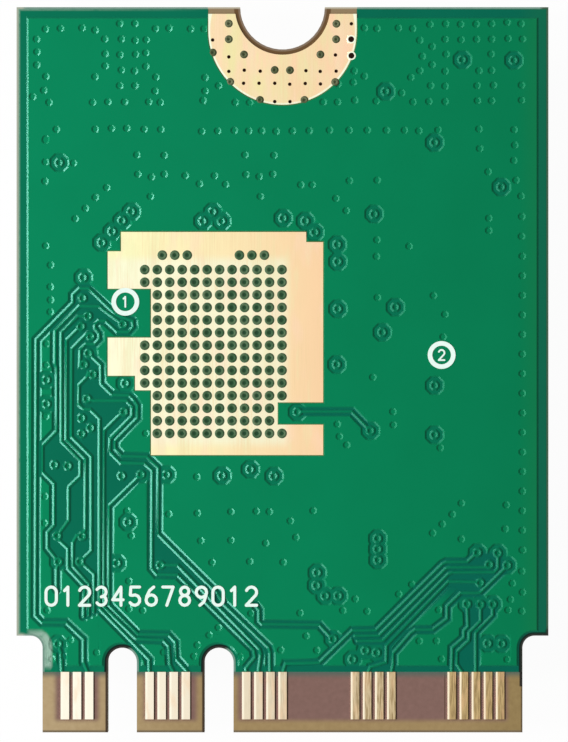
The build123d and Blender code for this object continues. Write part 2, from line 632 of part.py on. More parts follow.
def chip_places(rows):
    """Centres of the chip parts of rows that run along X."""
    places = []
    for centre, pitch, count in rows:
        for step in range(count):
            places.append((centre[0] + (step - (count - 1) / 2) * pitch, centre[1]))
    return places


def chip_ends(places):
    """Centres of the two metal ends of each chip part; chips stand across their row."""
    reach = (CHIP_LENGTH - CHIP_END_LENGTH) / 2
    return [(x, y + side * reach) for x, y in places for side in (-1, 1)]


body_length = CHIP_LENGTH - 2 * CHIP_END_LENGTH
with BuildPart() as capacitor_bodies:
    with BuildSketch(Plane.XY.offset(COMPONENT_Z)):
        with Locations(*chip_places(CAPACITOR_ROWS)):
            Rectangle(CHIP_WIDTH, body_length)
    extrude(amount=-CAPACITOR_HEIGHT)
capacitor_bodies.part.label = "capacitor_bodies"
export_step(capacitor_bodies.part, "parts/capacitor_bodies.step")

with BuildPart() as capacitor_ends:
    with BuildSketch(Plane.XY.offset(COMPONENT_Z)):
        with Locations(*chip_ends(chip_places(CAPACITOR_ROWS))):
            Rectangle(CHIP_WIDTH, CHIP_END_LENGTH)
    extrude(amount=-CAPACITOR_HEIGHT)
capacitor_ends.part.label = "capacitor_ends"
export_step(capacitor_ends.part, "parts/capacitor_ends.step")

with BuildPart() as resistor_bodies:
    with BuildSketch(Plane.XY.offset(COMPONENT_Z)):
        with Locations(*chip_places(RESISTOR_ROWS)):
            Rectangle(CHIP_WIDTH, body_length)
    extrude(amount=-RESISTOR_HEIGHT)
resistor_bodies.part.label = "resistor_bodies"
export_step(resistor_bodies.part, "parts/resistor_bodies.step")

with BuildPart() as resistor_ends:
    with BuildSketch(Plane.XY.offset(COMPONENT_Z)):
        with Locations(*chip_ends(chip_places(RESISTOR_ROWS))):
            Rectangle(CHIP_WIDTH, CHIP_END_LENGTH)
    extrude(amount=-RESISTOR_HEIGHT)
resistor_ends.part.label = "resistor_ends"
export_step(resistor_ends.part, "parts/resistor_ends.step")
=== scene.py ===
"""Laptop wifi card: the finish of every surface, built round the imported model.

The card lies on its shield can with the bare back up. Places on the board are written in
millimetres: +X to the right of the bare back, +Y towards the screw notch, origin in the middle.
"""
import math

import bpy
import numpy as np
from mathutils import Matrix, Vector
from mathutils.geometry import delaunay_2d_cdt

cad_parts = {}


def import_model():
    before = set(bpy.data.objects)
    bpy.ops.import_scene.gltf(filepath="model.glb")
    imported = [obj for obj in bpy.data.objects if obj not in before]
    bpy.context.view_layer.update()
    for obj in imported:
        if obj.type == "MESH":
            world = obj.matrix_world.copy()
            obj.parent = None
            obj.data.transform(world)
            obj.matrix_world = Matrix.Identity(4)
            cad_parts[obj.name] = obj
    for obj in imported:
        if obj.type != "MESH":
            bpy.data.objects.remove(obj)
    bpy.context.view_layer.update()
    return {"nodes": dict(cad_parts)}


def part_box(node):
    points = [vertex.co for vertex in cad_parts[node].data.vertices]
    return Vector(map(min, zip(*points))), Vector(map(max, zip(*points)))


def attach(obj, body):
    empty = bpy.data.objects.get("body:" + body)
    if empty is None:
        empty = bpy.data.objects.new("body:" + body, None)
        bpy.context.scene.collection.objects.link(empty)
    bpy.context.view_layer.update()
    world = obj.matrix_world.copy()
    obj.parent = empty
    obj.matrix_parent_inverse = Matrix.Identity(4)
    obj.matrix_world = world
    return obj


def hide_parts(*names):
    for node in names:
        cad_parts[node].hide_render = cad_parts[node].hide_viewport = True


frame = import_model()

MM = 0.001

# Photograph's frame: its pixels, their scale and the pixel that the board's middle falls on
PHOTO_WIDTH = 568
PHOTO_HEIGHT = 742
PHOTO_PIXELS_PER_MM = 24.18
PHOTO_BOARD_MIDDLE = (282.5, 369.75)
LENS_MM = 200
SENSOR_MM = 36

# Board outline, read from the frame where a node carries it
BOARD_LOW, BOARD_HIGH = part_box("laminate_board")
HALF_WIDTH = BOARD_HIGH.x / MM
TOP_Y = BOARD_HIGH.y / MM
BOTTOM_Y = BOARD_LOW.y / MM
HALF_TONGUE = HALF_WIDTH - 1.075
SHOULDER_Y = BOTTOM_Y + 4.0
SHOULDER_RADIUS = 0.5
KEY_RADIUS = 0.6
KEY_CENTRES = ((-6.625, BOTTOM_Y + 2.9), (-2.625, BOTTOM_Y + 2.9))
CONTACT_ZONE_TOP_Y = BOTTOM_Y + 2.5
NOTCH_RADIUS = 1.75
SCREW_PAD_RADIUS = 3.07
SCREW_PAD_CENTRE = (0.0, TOP_Y - 0.97)
SCREW_PAD_TOP_DROP = 0.28
SCREW_PAD_BORE_MARGIN = 0.22
MASK_INSET = 0.08
GROUND_PAD_OUTLINE = (
    (-5.44, -3.53), (1.68, -3.53), (1.68, -2.27), (-0.2, -2.27), (-0.2, -1.35), (1.68, -1.35),
    (1.68, 5.28), (0.98, 5.28), (0.98, 5.7), (-6.68, 5.7), (-6.68, 4.9), (-7.23, 4.9),
    (-7.23, 3.35), (-5.44, 3.35), (-5.44, 1.33), (-7.23, 1.33), (-7.23, -0.25), (-6.1, -0.25),
    (-6.1, -0.85), (-5.44, -0.85),
)

# Heights, in millimetres above the plane that the can rests on
LAMINATE_TOP = BOARD_HIGH.z / MM
LAMINATE_BASE = BOARD_LOW.z / MM
MASK_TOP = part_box("back_solder_mask")[1].z / MM
GOLD_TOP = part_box("back_ground_pad")[1].z / MM
INK_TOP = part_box("test_point_rings")[1].z / MM

# Relief of the mask: the step of the copper under it, then distances from the middle line of a trace
COPPER_STEP = 0.044
TRACE_CREST = 0.018
TRACE_FOOT = 0.091
CHANNEL_FLOOR = 0.148
CHANNEL_RIM = 0.221

# Copper pour: how far its border is drawn in, its sloped flank, and how far it runs under the half ring
POUR_INSET = 0.415
POUR_TONGUE_INSET = 0.17
POUR_FLANK = 0.078
POUR_BOTTOM_Y = CONTACT_ZONE_TOP_Y + 0.22
POUR_WINDOW_OVERLAP = 0.1
POUR_WINDOW_REACH = 0.4

# Rolled edge of the mask, its thinnest cover, and its olive margin beside gold
EDGE_ROLL_WIDTH = 0.035
EDGE_ROLL_DROP = 0.014
LEAST_COVER = 0.004
WINDOW_MARGIN = 0.05

# Thin mask and painted light: a pale band in the left shoulder, thin mask with a painted highlight on it;
# rims of painted shade in other corners; a painted highlight along the left edge
PALE_BAND = (0.26, 0.36)
PALE_FIELD = ((-10.6, -9.1), (-12.45, -10.7))
PALE_FLANK = 0.25
PAINTED_SHADE_BAND = (0.05, 0.09)
PAINTED_SHADE_FIELDS = (
    ((9.2, 11.4), (-12.8, -10.7)), ((-7.6, -6.1), (-12.8, -11.0)), ((-3.6, -2.1), (-12.8, -11.0)),
)
FIELD_FADE = 0.22
LEFT_HIGHLIGHT_X = -10.7
LEFT_HIGHLIGHT_BAND = (0.03, 0.09)
LEFT_HIGHLIGHT_SHARE = 0.55

# Vias under the mask: radii of the dimple's floor and rim, its depth, and the pad of the ringed ones
DIMPLE_RADII = (0.1, 0.17)
DIMPLE_DEPTH = 0.037
DIMPLE_SIDES = 8
PAD_RADII = (0.155, 0.228)
PAD_VOID_RADII = (0.35, 0.43)
PAD_DIMPLE_RADII = (0.06, 0.13)
PAD_DIMPLE_DEPTH = 0.042

# Half of a long side of the octagons round a ringed via, in degrees
HALF_LONG_SIDE = 18.5

# How bright the mask is: 0 over bare laminate, 1 over the copper pour; thin copper lies between
TRACE_TONE = 0.75
PAD_TONE = 0.65
PAD_VOID_TONE = 0.45
BORDER_TONES = {"top": 0.15, "left": 0.3, "right": 0.0}

# Fineness of curves and of the triangulation
KEY_STEPS = 20
CORNER_STEPS = 8
WINDOW_STEPS = 48
SCREW_PAD_STEPS = 64
RING_SIDES = 64
OPEN_VIA_SIDES = 14
DOT_SIDES = 20
SHARPEST_MITRE = 0.5
SAME_PLACE = 1e-5
LEAST_SPAN = 1e-12

# Traces of the back, each by the corners of its centreline
TRACES = (
    # left strip, from the outside in
    ((-6.18, 2.02), (-6.89, 2.28), (-8.0, 3.36), (-8.39, 3.36), (-8.66, 3.1), (-8.66, 2.78), (-10.17, 1.25),
     (-10.21, -10.17), (-9.93, -10.45), (-8.95, -10.45), (-8.22, -11.14), (-8.22, -12.1), (-8.02, -12.6)),
    ((-6.59, 1.88), (-7.59, 2.62), (-8.39, 2.64), (-9.4, 1.61), (-9.41, 0.27), (-9.33, 0.09),
     (-9.33, -2.53), (-9.93, -3.15), (-9.93, -4.22), (-9.44, -4.71), (-9.44, -6.43), (-9.71, -6.73),
     (-9.71, -7.37), (-9.26, -7.94), (-9.34, -8.25), (-9.34, -9.1)),
    ((-8.04, 2.22), (-8.45, 2.22), (-9.14, 1.55), (-9.14, -2.96), (-8.36, -3.74), (-8.36, -4.39),
     (-8.84, -4.85), (-8.84, -6.23), (-9.31, -6.87), (-9.2, -7.09), (-8.87, -7.39), (-8.87, -8.22),
     (-8.18, -8.95), (-8.22, -10.2)),
    ((-8.33, 1.79), (-8.46, 1.68), (-8.93, 1.22), (-8.94, -2.89), (-8.14, -3.69), (-8.15, -6.6),
     (-8.28, -6.88), (-8.5, -6.85), (-8.66, -7.15), (-8.67, -8.1), (-8.0, -8.86), (-8.02, -10.13)),
    ((-7.93, 1.38), (-8.06, 1.52), (-8.71, 0.86), (-8.73, -2.76), (-7.9, -3.59), (-7.9, -7.49),
     (-8.37, -7.94), (-8.15, -8.12), (-7.78, -8.46), (-7.8, -10.0)),
    ((-7.83, -0.19), (-8.02, -0.12), (-8.1, -0.32), (-8.42, -0.64), (-8.43, -1.45), (-8.21, -1.63),
     (-7.95, -1.64), (-7.56, -2.02), (-7.57, -9.87), (-5.5, -11.98), (-5.5, -12.6)),
    ((-6.55, -1.74), (-6.8, -1.94), (-7.38, -2.52), (-7.38, -9.83), (-6.03, -11.14), (-4.93, -11.18),
     (-4.7, -11.42), (-4.65, -12.2), (-4.45, -12.6)),
    ((-5.85, -4.33), (-6.0, -4.5), (-7.17, -5.63), (-7.18, -9.73), (-5.99, -10.94), (-4.7, -10.96),
     (-4.42, -11.26), (-4.4, -11.95), (-3.95, -12.45)),
    ((-9.28, -11.34), (-9.14, -11.75), (-9.12, -12.6)),
    # trunk that passes left of the ground pad and runs down to the middle contacts
    ((-8.02, 0.68), (-7.8, 0.47), (-7.51, 0.2), (-7.5, -0.58), (-7.04, -1.04), (-6.35, -1.06),
     (-6.14, -1.25), (-5.99, -1.48), (-5.99, -2.0), (-6.94, -2.96), (-6.92, -3.26), (-6.63, -3.57),
     (-5.6, -3.6), (-5.13, -4.05), (-5.15, -6.79), (-2.7, -9.23), (-2.42, -9.7), (-0.57, -11.48),
     (-0.51, -11.7), (-0.5, -12.6)),
    ((-8.08, -1.2), (-7.8, -1.28), (-6.45, -1.28), (-6.21, -1.53), (-6.22, -1.92), (-7.12, -2.81),
     (-7.14, -3.41), (-6.68, -3.87), (-5.72, -3.87), (-5.38, -4.17), (-5.4, -8.22), (-5.19, -8.47),
     (-4.33, -8.49), (-1.19, -11.57), (-1.13, -11.9), (-1.5, -12.35), (-1.5, -12.6)),
    ((-5.04, -8.08), (-4.33, -8.08), (-0.95, -11.55), (-0.89, -11.75), (-1.0, -12.6)),
    ((-1.1, -9.75), (-0.96, -9.94), (-0.96, -10.4), (-0.84, -10.52), (1.53, -10.55), (1.95, -11.0),
     (2.1, -11.14)),
    # loop beside the left ring
    ((-6.2, 2.02), (-6.17, 1.77), (-6.36, 1.56), (-6.83, 1.57), (-7.31, 2.02), (-7.6, 2.03), (-7.76, 1.88),
     (-7.75, 1.7), (-7.58, 1.5), (-7.57, 1.27), (-7.78, 1.06), (-8.13, 1.07), (-8.36, 0.83), (-8.38, 0.15),
     (-8.2, 0.22)),
    # fan-out to the right group of vias
    ((0.0, -12.6), (0.14, -12.14), (1.53, -12.12), (2.9, -10.79), (3.87, -10.78), (6.62, -8.04),
     (6.78, -7.95), (7.65, -7.95), (8.07, -7.56)),
    ((3.0, -11.0), (4.0, -11.0), (6.78, -8.21), (6.93, -8.17), (8.45, -8.17), (8.56, -8.06)),
    ((3.1, -11.21), (4.16, -11.21), (6.86, -8.45), (7.03, -8.38), (8.79, -8.37), (8.92, -8.2),
     (8.92, -7.78), (8.91, -7.58)),
    ((3.5, -12.6), (3.65, -12.3), (4.3, -12.1), (4.31, -11.4), (6.86, -8.76), (7.94, -8.78), (8.18, -8.81)),
    ((4.5, -12.6), (4.58, -12.2), (4.58, -11.73), (5.3, -10.9), (5.5, -10.75), (6.22, -10.75),
     (6.82, -10.3), (6.82, -9.78), (7.38, -9.23), (8.17, -9.23), (9.17, -8.26), (9.3, -8.09)),
    ((7.64, -9.69), (7.68, -10.64), (7.51, -10.79), (7.51, -11.08), (7.03, -11.49), (7.0, -12.6)),
    ((8.2, -9.71), (8.2, -10.41), (7.73, -10.86), (7.73, -11.19), (7.21, -11.68), (7.21, -12.16),
     (7.5, -12.6)),
    ((8.7, -9.7), (8.7, -10.15), (8.0, -10.86), (8.0, -12.6)),
    # short link from the pad's slot
    ((0.62, -1.73), (2.87, -1.73), (3.64, -2.52)),
)

# Places under the mask where the copper is left out, besides the channels of the traces; their corners lie
# on the traces, whose channels give them their borders
BARE_FIELDS = (
    ((-8.05, 3.36), (-8.66, 2.78), (-9.4, 1.61), (-9.33, 0.09), (-9.33, -2.53), (-9.93, -3.15),
     (-9.93, -4.22), (-9.44, -4.71), (-9.44, -6.43), (-9.71, -6.73), (-9.71, -7.37), (-9.26, -7.94),
     (-8.87, -8.22), (-8.18, -8.95), (-8.22, -10.1), (-7.57, -9.87), (-7.18, -9.73), (-7.17, -5.63),
     (-5.85, -4.33), (-5.38, -4.17), (-5.6, -3.6), (-6.63, -3.57), (-6.94, -2.96), (-5.99, -2.0),
     (-5.99, -1.48), (-6.35, -1.06), (-7.04, -1.04), (-7.5, -0.58), (-7.51, 0.2), (-8.02, 0.68),
     (-7.57, 1.27), (-7.75, 1.75), (-7.31, 2.02), (-6.83, 1.57), (-6.36, 1.56), (-6.2, 2.02), (-6.89, 2.28)),
    ((-5.4, -6.9), (-5.15, -6.79), (-2.7, -9.23), (-2.66, -9.79), (-3.0, -9.8), (-4.33, -8.49),
     (-5.19, -8.47), (-5.4, -8.22)),
    ((6.78, -7.95), (7.65, -7.95), (8.07, -7.56), (8.91, -7.58), (9.3, -8.09), (8.17, -9.23), (7.38, -9.23),
     (7.0, -9.6), (6.86, -8.76), (6.4, -8.3)),
    ((7.64, -9.69), (8.7, -9.7), (8.7, -10.15), (8.0, -10.86), (8.0, -12.45), (7.0, -12.45), (7.03, -11.49),
     (7.51, -11.08), (7.68, -10.64)),
)

# Vias with a pad of their own in a round gap of the copper
RINGED_VIAS = (
    (7.44, 12.82), (9.57, 12.8), (4.27, 11.51), (6.29, 9.4), (-9.23, 8.57), (9.05, 7.56), (3.79, 6.44),
    (0.03, 6.27), (0.95, 6.15), (1.34, 5.69), (2.27, 5.18), (-6.25, 6.54), (-6.63, 6.17), (-7.04, 5.72),
    (-7.47, 5.26), (-2.88, 6.53), (-3.29, 6.15), (-2.51, 6.15), (2.29, 4.47), (2.29, 2.52), (4.67, 2.59),
    (4.13, 1.55), (2.25, 0.22), (6.29, -0.65), (6.29, -2.69), (3.64, -2.52), (0.62, -1.75), (-2.5, -4.38),
    (-1.33, -4.12), (-0.35, -4.4), (-4.79, -4.34), (-6.39, -6.3), (3.94, -6.98), (3.94, -7.42),
    (3.95, -7.87), (1.44, -8.39), (1.41, -8.92), (1.77, -9.35), (2.31, -9.35), (2.1, -11.14), (2.9, -11.98),
    (3.44, -11.61), (3.9, -11.7), (8.07, -7.56), (8.91, -7.58), (8.56, -8.06), (9.3, -8.09), (8.18, -8.81),
    (7.64, -9.69), (8.2, -9.71), (8.7, -9.7), (8.5, -11.32), (9.07, -11.33), (-8.24, 3.81), (-8.26, 2.96),
    (-8.04, 2.22), (-8.33, 1.79), (-7.93, 1.38), (-8.02, 0.68), (-8.2, 0.22), (-7.83, -0.19), (-8.08, -1.2),
    (-9.76, -0.42), (-9.75, -1.42), (-6.59, 1.88), (-6.5, -0.56), (-6.55, -1.74), (-8.3, -2.0),
    (-8.3, -2.65), (-7.93, -2.4), (-9.43, -3.93), (-8.87, -3.98), (-6.65, -4.39), (-5.85, -4.33),
    (-9.31, -6.87), (-8.28, -6.88), (-9.26, -7.94), (-8.37, -7.94), (-6.84, -8.0), (-5.04, -8.08),
    (-9.28, -11.34),
)

# Vias straight into the copper, seen as dimples: top strip, middle, lower part
PLAIN_VIAS = (
    (-9.81, 14.09), (-9.19, 14.12), (-8.3, 14.14), (-7.76, 14.05), (-10.18, 13.68), (-7.36, 13.68),
    (-10.16, 13.15), (-7.34, 13.07), (-10.17, 12.61), (-7.34, 12.57), (-9.79, 12.13), (-7.76, 12.12),
    (-6.74, 14.32), (-6.11, 14.32), (-6.67, 13.68), (-6.1, 13.62), (-5.64, 13.65), (-6.73, 13.03),
    (-6.08, 13.05), (-5.66, 13.11), (-6.67, 12.4), (-6.13, 12.36), (-5.66, 12.55), (-6.74, 11.75),
    (-6.11, 11.75), (-9.88, 11.56), (-10.34, 11.3), (-9.66, 11.06), (-7.86, 11.06), (-7.23, 11.08),
    (-6.54, 11.08), (-5.54, 11.08), (-5.06, 11.06), (-9.36, 9.95), (-7.75, 9.95), (-7.08, 9.99),
    (-6.45, 9.99), (-5.73, 9.95), (-5.04, 9.94), (-9.79, 9.56), (-5.26, 14.11), (-4.7, 14.13),
    (-3.81, 14.1), (-3.25, 14.1), (-5.24, 12.11), (-5.28, 11.53), (-3.21, 12.09), (-2.65, 11.75),
    (-3.21, 11.53), (-3.29, 11.14), (-1.96, 11.06), (-1.36, 11.06), (-3.35, 9.86), (-2.69, 9.88),
    (-2.0, 9.9), (-1.4, 9.88), (-0.87, 9.89), (-0.27, 9.86), (0.4, 9.88), (1.1, 9.89), (1.94, 9.91),
    (2.75, 9.91), (3.5, 9.91), (4.29, 9.91), (5.04, 9.91), (5.63, 9.88), (3.38, 14.14), (3.9, 14.11),
    (4.79, 14.14), (5.38, 14.11), (5.67, 13.63), (5.77, 12.97), (5.67, 12.37), (5.3, 12.09), (3.38, 12.14),
    (2.96, 12.36), (2.29, 11.82), (2.92, 11.89), (1.68, 11.08), (2.27, 11.07), (2.98, 11.15), (3.87, 11.11),
    (4.92, 11.45), (5.39, 11.08), (6.09, 14.28), (6.74, 14.31), (7.36, 14.29), (8.0, 14.3), (8.64, 14.31),
    (9.28, 14.37), (9.86, 14.31), (6.18, 13.37), (6.72, 13.67), (7.38, 13.65), (8.02, 13.67), (8.64, 13.68),
    (9.32, 13.7), (9.92, 13.68), (6.18, 12.62), (6.76, 13.05), (8.62, 13.06), (6.72, 12.35), (8.12, 12.37),
    (8.64, 12.38), (6.12, 11.75), (6.72, 11.73), (8.04, 11.75), (8.72, 11.77), (9.88, 11.77), (6.05, 11.1),
    (6.72, 11.09), (8.06, 11.13), (8.64, 11.13), (9.88, 11.15), (6.43, 9.92), (8.12, 9.96), (9.57, 9.93),
    (-9.81, 9.49), (-6.03, 8.89), (-4.9, 8.87), (-1.56, 8.89), (-0.36, 8.87), (-9.81, 8.6), (-8.65, 8.55),
    (-5.99, 8.09), (-5.43, 7.97), (-4.9, 8.09), (-4.03, 8.03), (-3.44, 7.69), (-2.82, 8.03), (-2.36, 7.67),
    (-1.52, 8.08), (-0.97, 7.99), (-0.41, 8.1), (-9.83, 7.8), (-7.28, 7.54), (-7.75, 7.13), (-8.16, 6.68),
    (-8.58, 6.25), (-5.47, 7.17), (-0.92, 7.17), (-9.8, 5.13), (-9.6, 4.33), (-9.61, 3.43), (-9.6, 2.89),
    (-9.61, 2.39), (8.15, 9.15), (9.6, 9.29), (9.56, 8.66), (8.5, 8.19), (9.65, 7.84), (9.86, 7.18),
    (2.76, 7.82), (3.91, 7.84), (0.75, 7.65), (1.22, 7.65), (2.2, 7.09), (2.63, 6.58), (8.53, 6.27),
    (8.53, 5.76), (9.89, 6.34), (9.88, 5.52), (3.9, 5.37), (5.23, 5.11), (3.88, 4.69), (3.92, 2.99),
    (6.24, 3.07), (6.71, 2.29), (6.64, 1.36), (3.73, -0.31), (4.56, -1.73), (4.58, -2.28), (2.26, -2.25),
    (2.35, -2.76), (2.65, -3.11), (6.52, -3.23), (-3.55, -4.42), (-4.71, -5.97), (-3.53, -5.93),
    (-2.14, -5.87), (-1.09, -5.85), (-0.55, -5.87), (0.32, -6.25), (-3.39, -7.07), (-2.14, -7.05),
    (-0.7, -7.17), (0.55, -6.93), (-2.92, -7.97), (-1.36, -7.93), (0.02, -7.96), (1.26, -5.83),
    (7.39, -5.52), (7.01, -5.98), (6.6, -6.38), (6.2, -6.75), (9.25, -5.59), (9.2, -6.58), (9.93, -7.46),
    (7.39, -7.0), (9.89, -8.33), (9.5, -8.83), (9.92, -9.2), (9.42, -9.5), (9.32, -9.94), (9.89, -9.98),
    (5.34, -8.88), (4.8, -9.28), (3.0, -9.48), (2.49, -9.95), (3.49, -9.99), (0.72, -10.06), (0.97, -11.01),
    (1.41, -11.6), (-0.08, -11.59), (5.65, -11.22), (6.36, -11.21), (6.57, -11.96), (9.29, -11.98),
    (6.45, -9.93), (-1.31, -10.08), (-2.66, -10.66), (-3.04, -10.98), (-3.53, -11.38), (-3.67, -11.85),
    (-4.92, -11.68), (-1.75, -11.87), (-9.74, -9.95), (-6.36, -9.89), (-5.79, -9.95), (-8.77, -11.18),
    (-9.03, -11.84), (-9.54, -11.96), (-7.69, -11.7), (-6.44, -5.84), (-6.26, -6.86), (-5.66, -2.63),
    (-6.36, -8.74), (-9.76, 1.07), (-9.78, 0.2), (-9.8, -1.93), (-9.84, -5.24), (-9.86, -6.34),
)

# Column of vias along the right edge
EDGE_COLUMN_X = 9.91
EDGE_COLUMN_TOP_Y = 4.7
EDGE_COLUMN_PITCH = 0.81
EDGE_COLUMN_COUNT = 16

# Gold half ring: vias closed with mask, dots that lie across its border, and open vias
SCREW_CLOSED_VIAS = (
    (-2.22, 14.32), (-2.22, 13.67), (-1.59, 13.04), (-0.32, 12.4), (0.31, 12.39), (1.57, 13.04),
    (2.22, 13.67), (2.23, 14.31),
)
SCREW_BORDER_VIAS = ((-2.88, 13.12), (-2.16, 11.91), (-0.93, 11.16), (0.91, 11.16), (2.18, 11.9))
SCREW_OPEN_VIAS = (
    (-2.89, 13.64), (-2.22, 12.94), (-2.22, 12.34), (-1.58, 12.39), (-0.92, 12.35), (-1.61, 11.85),
    (-0.97, 11.85), (-0.32, 11.85), (-0.32, 11.09), (0.31, 11.09), (0.3, 11.81), (0.94, 11.84),
    (1.57, 11.82), (0.97, 12.37), (1.56, 12.34), (2.22, 12.35), (2.19, 13.02), (2.85, 14.31),
)
OPEN_VIA_RADIUS = 0.075
WIDE_VIAS = ((2.84, 13.67), (2.85, 12.99))
WIDE_VIA_RADIUS = 0.13
BARREL_RISE = 0.006
WIDE_LAND_RADIUS = 0.19
LAND_RISE = 0.019
SCREW_DOT_RADIUS = 0.165

# Mask dots over the heat vias of the ground pad, row by row from the top right
DOT_RADIUS = 0.204
DOT_RISE = 0.026
DOT_PITCH = (0.516, 0.521)
DOT_TOP_RIGHT = (-0.02, 4.14)
DOT_COLUMNS = 12
DOT_ROWS = 14
DOT_LEFT_COLUMN_ROWS = (0, 1, 6, 7, 8, 9)
DOT_SHORT_ROWS = (11, 12)
DOT_EXTRA_STARTS = (-4.97, -1.78)
DOT_EXTRA_COUNT = 3
DOT_EXTRA_RISE = 0.6

# Profiles of small round forms: share of the radius and of the height, from the rim to the middle
DOT_PROFILE = ((1.0, 0.0), (0.93, 0.4), (0.82, 0.75), (0.68, 1.0), (0.56, 0.92), (0.3, 0.15), (0.12, 0.03))
SCREW_DOT_PROFILE = ((1.0, 0.0), (0.84, 0.45), (0.66, 1.0), (0.46, 0.95), (0.28, 0.4), (0.12, 0.2))
BARREL_PROFILE = ((1.0, 0.0), (0.88, 0.8), (0.6, 1.0), (0.3, 0.92))
LAND_PROFILE = ((1.0, 0.0), (0.94, 1.0), (0.6, 1.0))

# Vias of the component side
FRONT_VIA_PITCH = 0.95
FRONT_VIA_SHIFT = 0.05
FRONT_VIA_RADIUS = 0.14

# Edge contacts and the spans of the tongue that have inner copper under the laminate's surface
CONTACT_PITCH = 0.5
TONGUE_COPPER = ((-9.4, -7.6), (-5.75, -3.55), (-1.85, 9.3))
TONGUE_COPPER_Y = (-14.52, -12.0)
TONGUE_CONTACT_Y = (-14.46, -12.5)
CONTACT_ROWS = ((-9.25, -7.7), (-5.75, -3.7), (-1.75, 0.3), (2.75, 4.8), (6.7, 9.3))

# White print
PRINT_FOOT = MASK_TOP - COPPER_STEP
RING_CENTRES = ((-6.5, 2.81), (6.58, 0.61))
RING_RADIUS = 0.575
RING_STROKE = 0.19
RING_DIGITS = "12"
RING_DIGIT_HEIGHT = 0.42
RING_DIGIT_STROKE = 0.035
LEGEND_DIGITS = "0123456789012"
LEGEND_START = (-9.78, -9.74)
LEGEND_HEIGHT = 0.755
LEGEND_PITCH = 0.69
LEGEND_STROKE = 0.062
DIGIT_WIDTH = 0.57


def arc(centre, radius, start, end, steps):
    """Points of an arc, its angles in degrees."""
    angles = [math.radians(start + (end - start) * step / steps) for step in range(steps + 1)]
    return [(centre[0] + radius * math.cos(a), centre[1] + radius * math.sin(a)) for a in angles]


def circle(centre, radius, sides):
    """Closed loop round a centre, with a side, not a corner, at its right."""
    half_step = 180 / sides
    return arc(centre, radius, half_step, 360 - half_step, sides - 1)


def rounded_octagon(centre, radius):
    """Closed loop round a centre: eight long sides, as the circle's, with short ones at the corners."""
    loop = []
    for facing in range(0, 360, 45):
        loop += arc(centre, radius, facing - HALF_LONG_SIDE, facing + HALF_LONG_SIDE, 1)
    return loop


def box_loop(box, inset):
    """Upright rectangle, given by its x and y spans, drawn in by the inset."""
    (left_x, right_x), (low_y, high_y) = [(low + inset, high - inset) for low, high in box]
    return [(left_x, low_y), (right_x, low_y), (right_x, high_y), (left_x, high_y)]


def card_loop(inset, bottom_y, window_radius, tongue_inset=None):
    """Outline of the back, drawn in by the insets, cut at bottom_y and round the screw's gold field."""
    if tongue_inset is None:
        tongue_inset = inset
    half_width = HALF_WIDTH - inset
    half_tongue = HALF_TONGUE - tongue_inset
    corner_radius = SHOULDER_RADIUS + tongue_inset
    shoulder_y = SHOULDER_Y + tongue_inset
    corner_x = half_tongue + corner_radius
    loop = [(-half_tongue, bottom_y)]
    for key in KEY_CENTRES:
        radius = KEY_RADIUS + tongue_inset
        if bottom_y < key[1]:
            loop.append((key[0] - radius, bottom_y))
            loop += arc(key, radius, 180, 0, KEY_STEPS)
            loop.append((key[0] + radius, bottom_y))
        else:
            reach = math.degrees(math.asin((bottom_y - key[1]) / radius))
            loop += arc(key, radius, 180 - reach, reach, KEY_STEPS)
    loop.append((half_tongue, bottom_y))
    loop += arc((corner_x, shoulder_y - corner_radius), corner_radius, 180, 90, CORNER_STEPS)
    loop += [(half_width, shoulder_y), (half_width, TOP_Y - inset), (window_radius, TOP_Y - inset)]
    loop += arc(SCREW_PAD_CENTRE, window_radius, 0, -180, WINDOW_STEPS)
    loop += [(-window_radius, TOP_Y - inset), (-half_width, TOP_Y - inset), (-half_width, shoulder_y)]
    loop += arc((-corner_x, shoulder_y - corner_radius), corner_radius, 90, 0, CORNER_STEPS)
    return loop


def pour_loop(step):
    """Border of the copper pour, drawn in by one more step."""
    window_radius = SCREW_PAD_RADIUS - POUR_WINDOW_OVERLAP + step
    return card_loop(POUR_INSET + step, POUR_BOTTOM_Y + step, window_radius, POUR_TONGUE_INSET + step)


def swollen(route, distance, cap_steps=6):
    """Closed loop at one distance round an open route, mitred at its corners, round at its ends."""
    points = [Vector(point) for point in route]
    sides = ([], [])
    for index, point in enumerate(points):
        before = (point - points[index - 1]).normalized() if index else None
        after = (points[index + 1] - point).normalized() if index < len(points) - 1 else None
        if before is None or after is None:
            along = after or before
            normal = Vector((-along.y, along.x))
            reach = distance
        else:
            normal = Vector((-(before + after).y, (before + after).x)).normalized()
            reach = distance / max(normal.dot(Vector((-before.y, before.x))), SHARPEST_MITRE)
        sides[0].append(point + normal * reach)
        sides[1].append(point - normal * reach)
    first = math.degrees(math.atan2(*(points[1] - points[0]).yx))
    last = math.degrees(math.atan2(*(points[-1] - points[-2]).yx))
    start_cap = arc(points[0], distance, first + 270, first + 90, cap_steps)[1:-1]
    end_cap = arc(points[-1], distance, last + 90, last - 90, cap_steps)[1:-1]
    return [tuple(p) for p in sides[0]] + end_cap + [tuple(p) for p in reversed(sides[1])] + start_cap


def distance_to(places, centre):
    """Distance of each place to one point."""
    return np.linalg.norm(places - np.array(centre), axis=1)


def distance_to_route(places, route):
    """Distance of each place to the nearest point of a route."""
    nearest = np.full(len(places), np.inf)
    for start, end in zip(route[:-1], route[1:]):
        start, span = np.array(start), np.array(end) - np.array(start)
        share = np.clip((places - start) @ span / max(span @ span, LEAST_SPAN), 0, 1)
        nearest = np.minimum(nearest, np.linalg.norm(places - start - share[:, None] * span, axis=1))
    return nearest


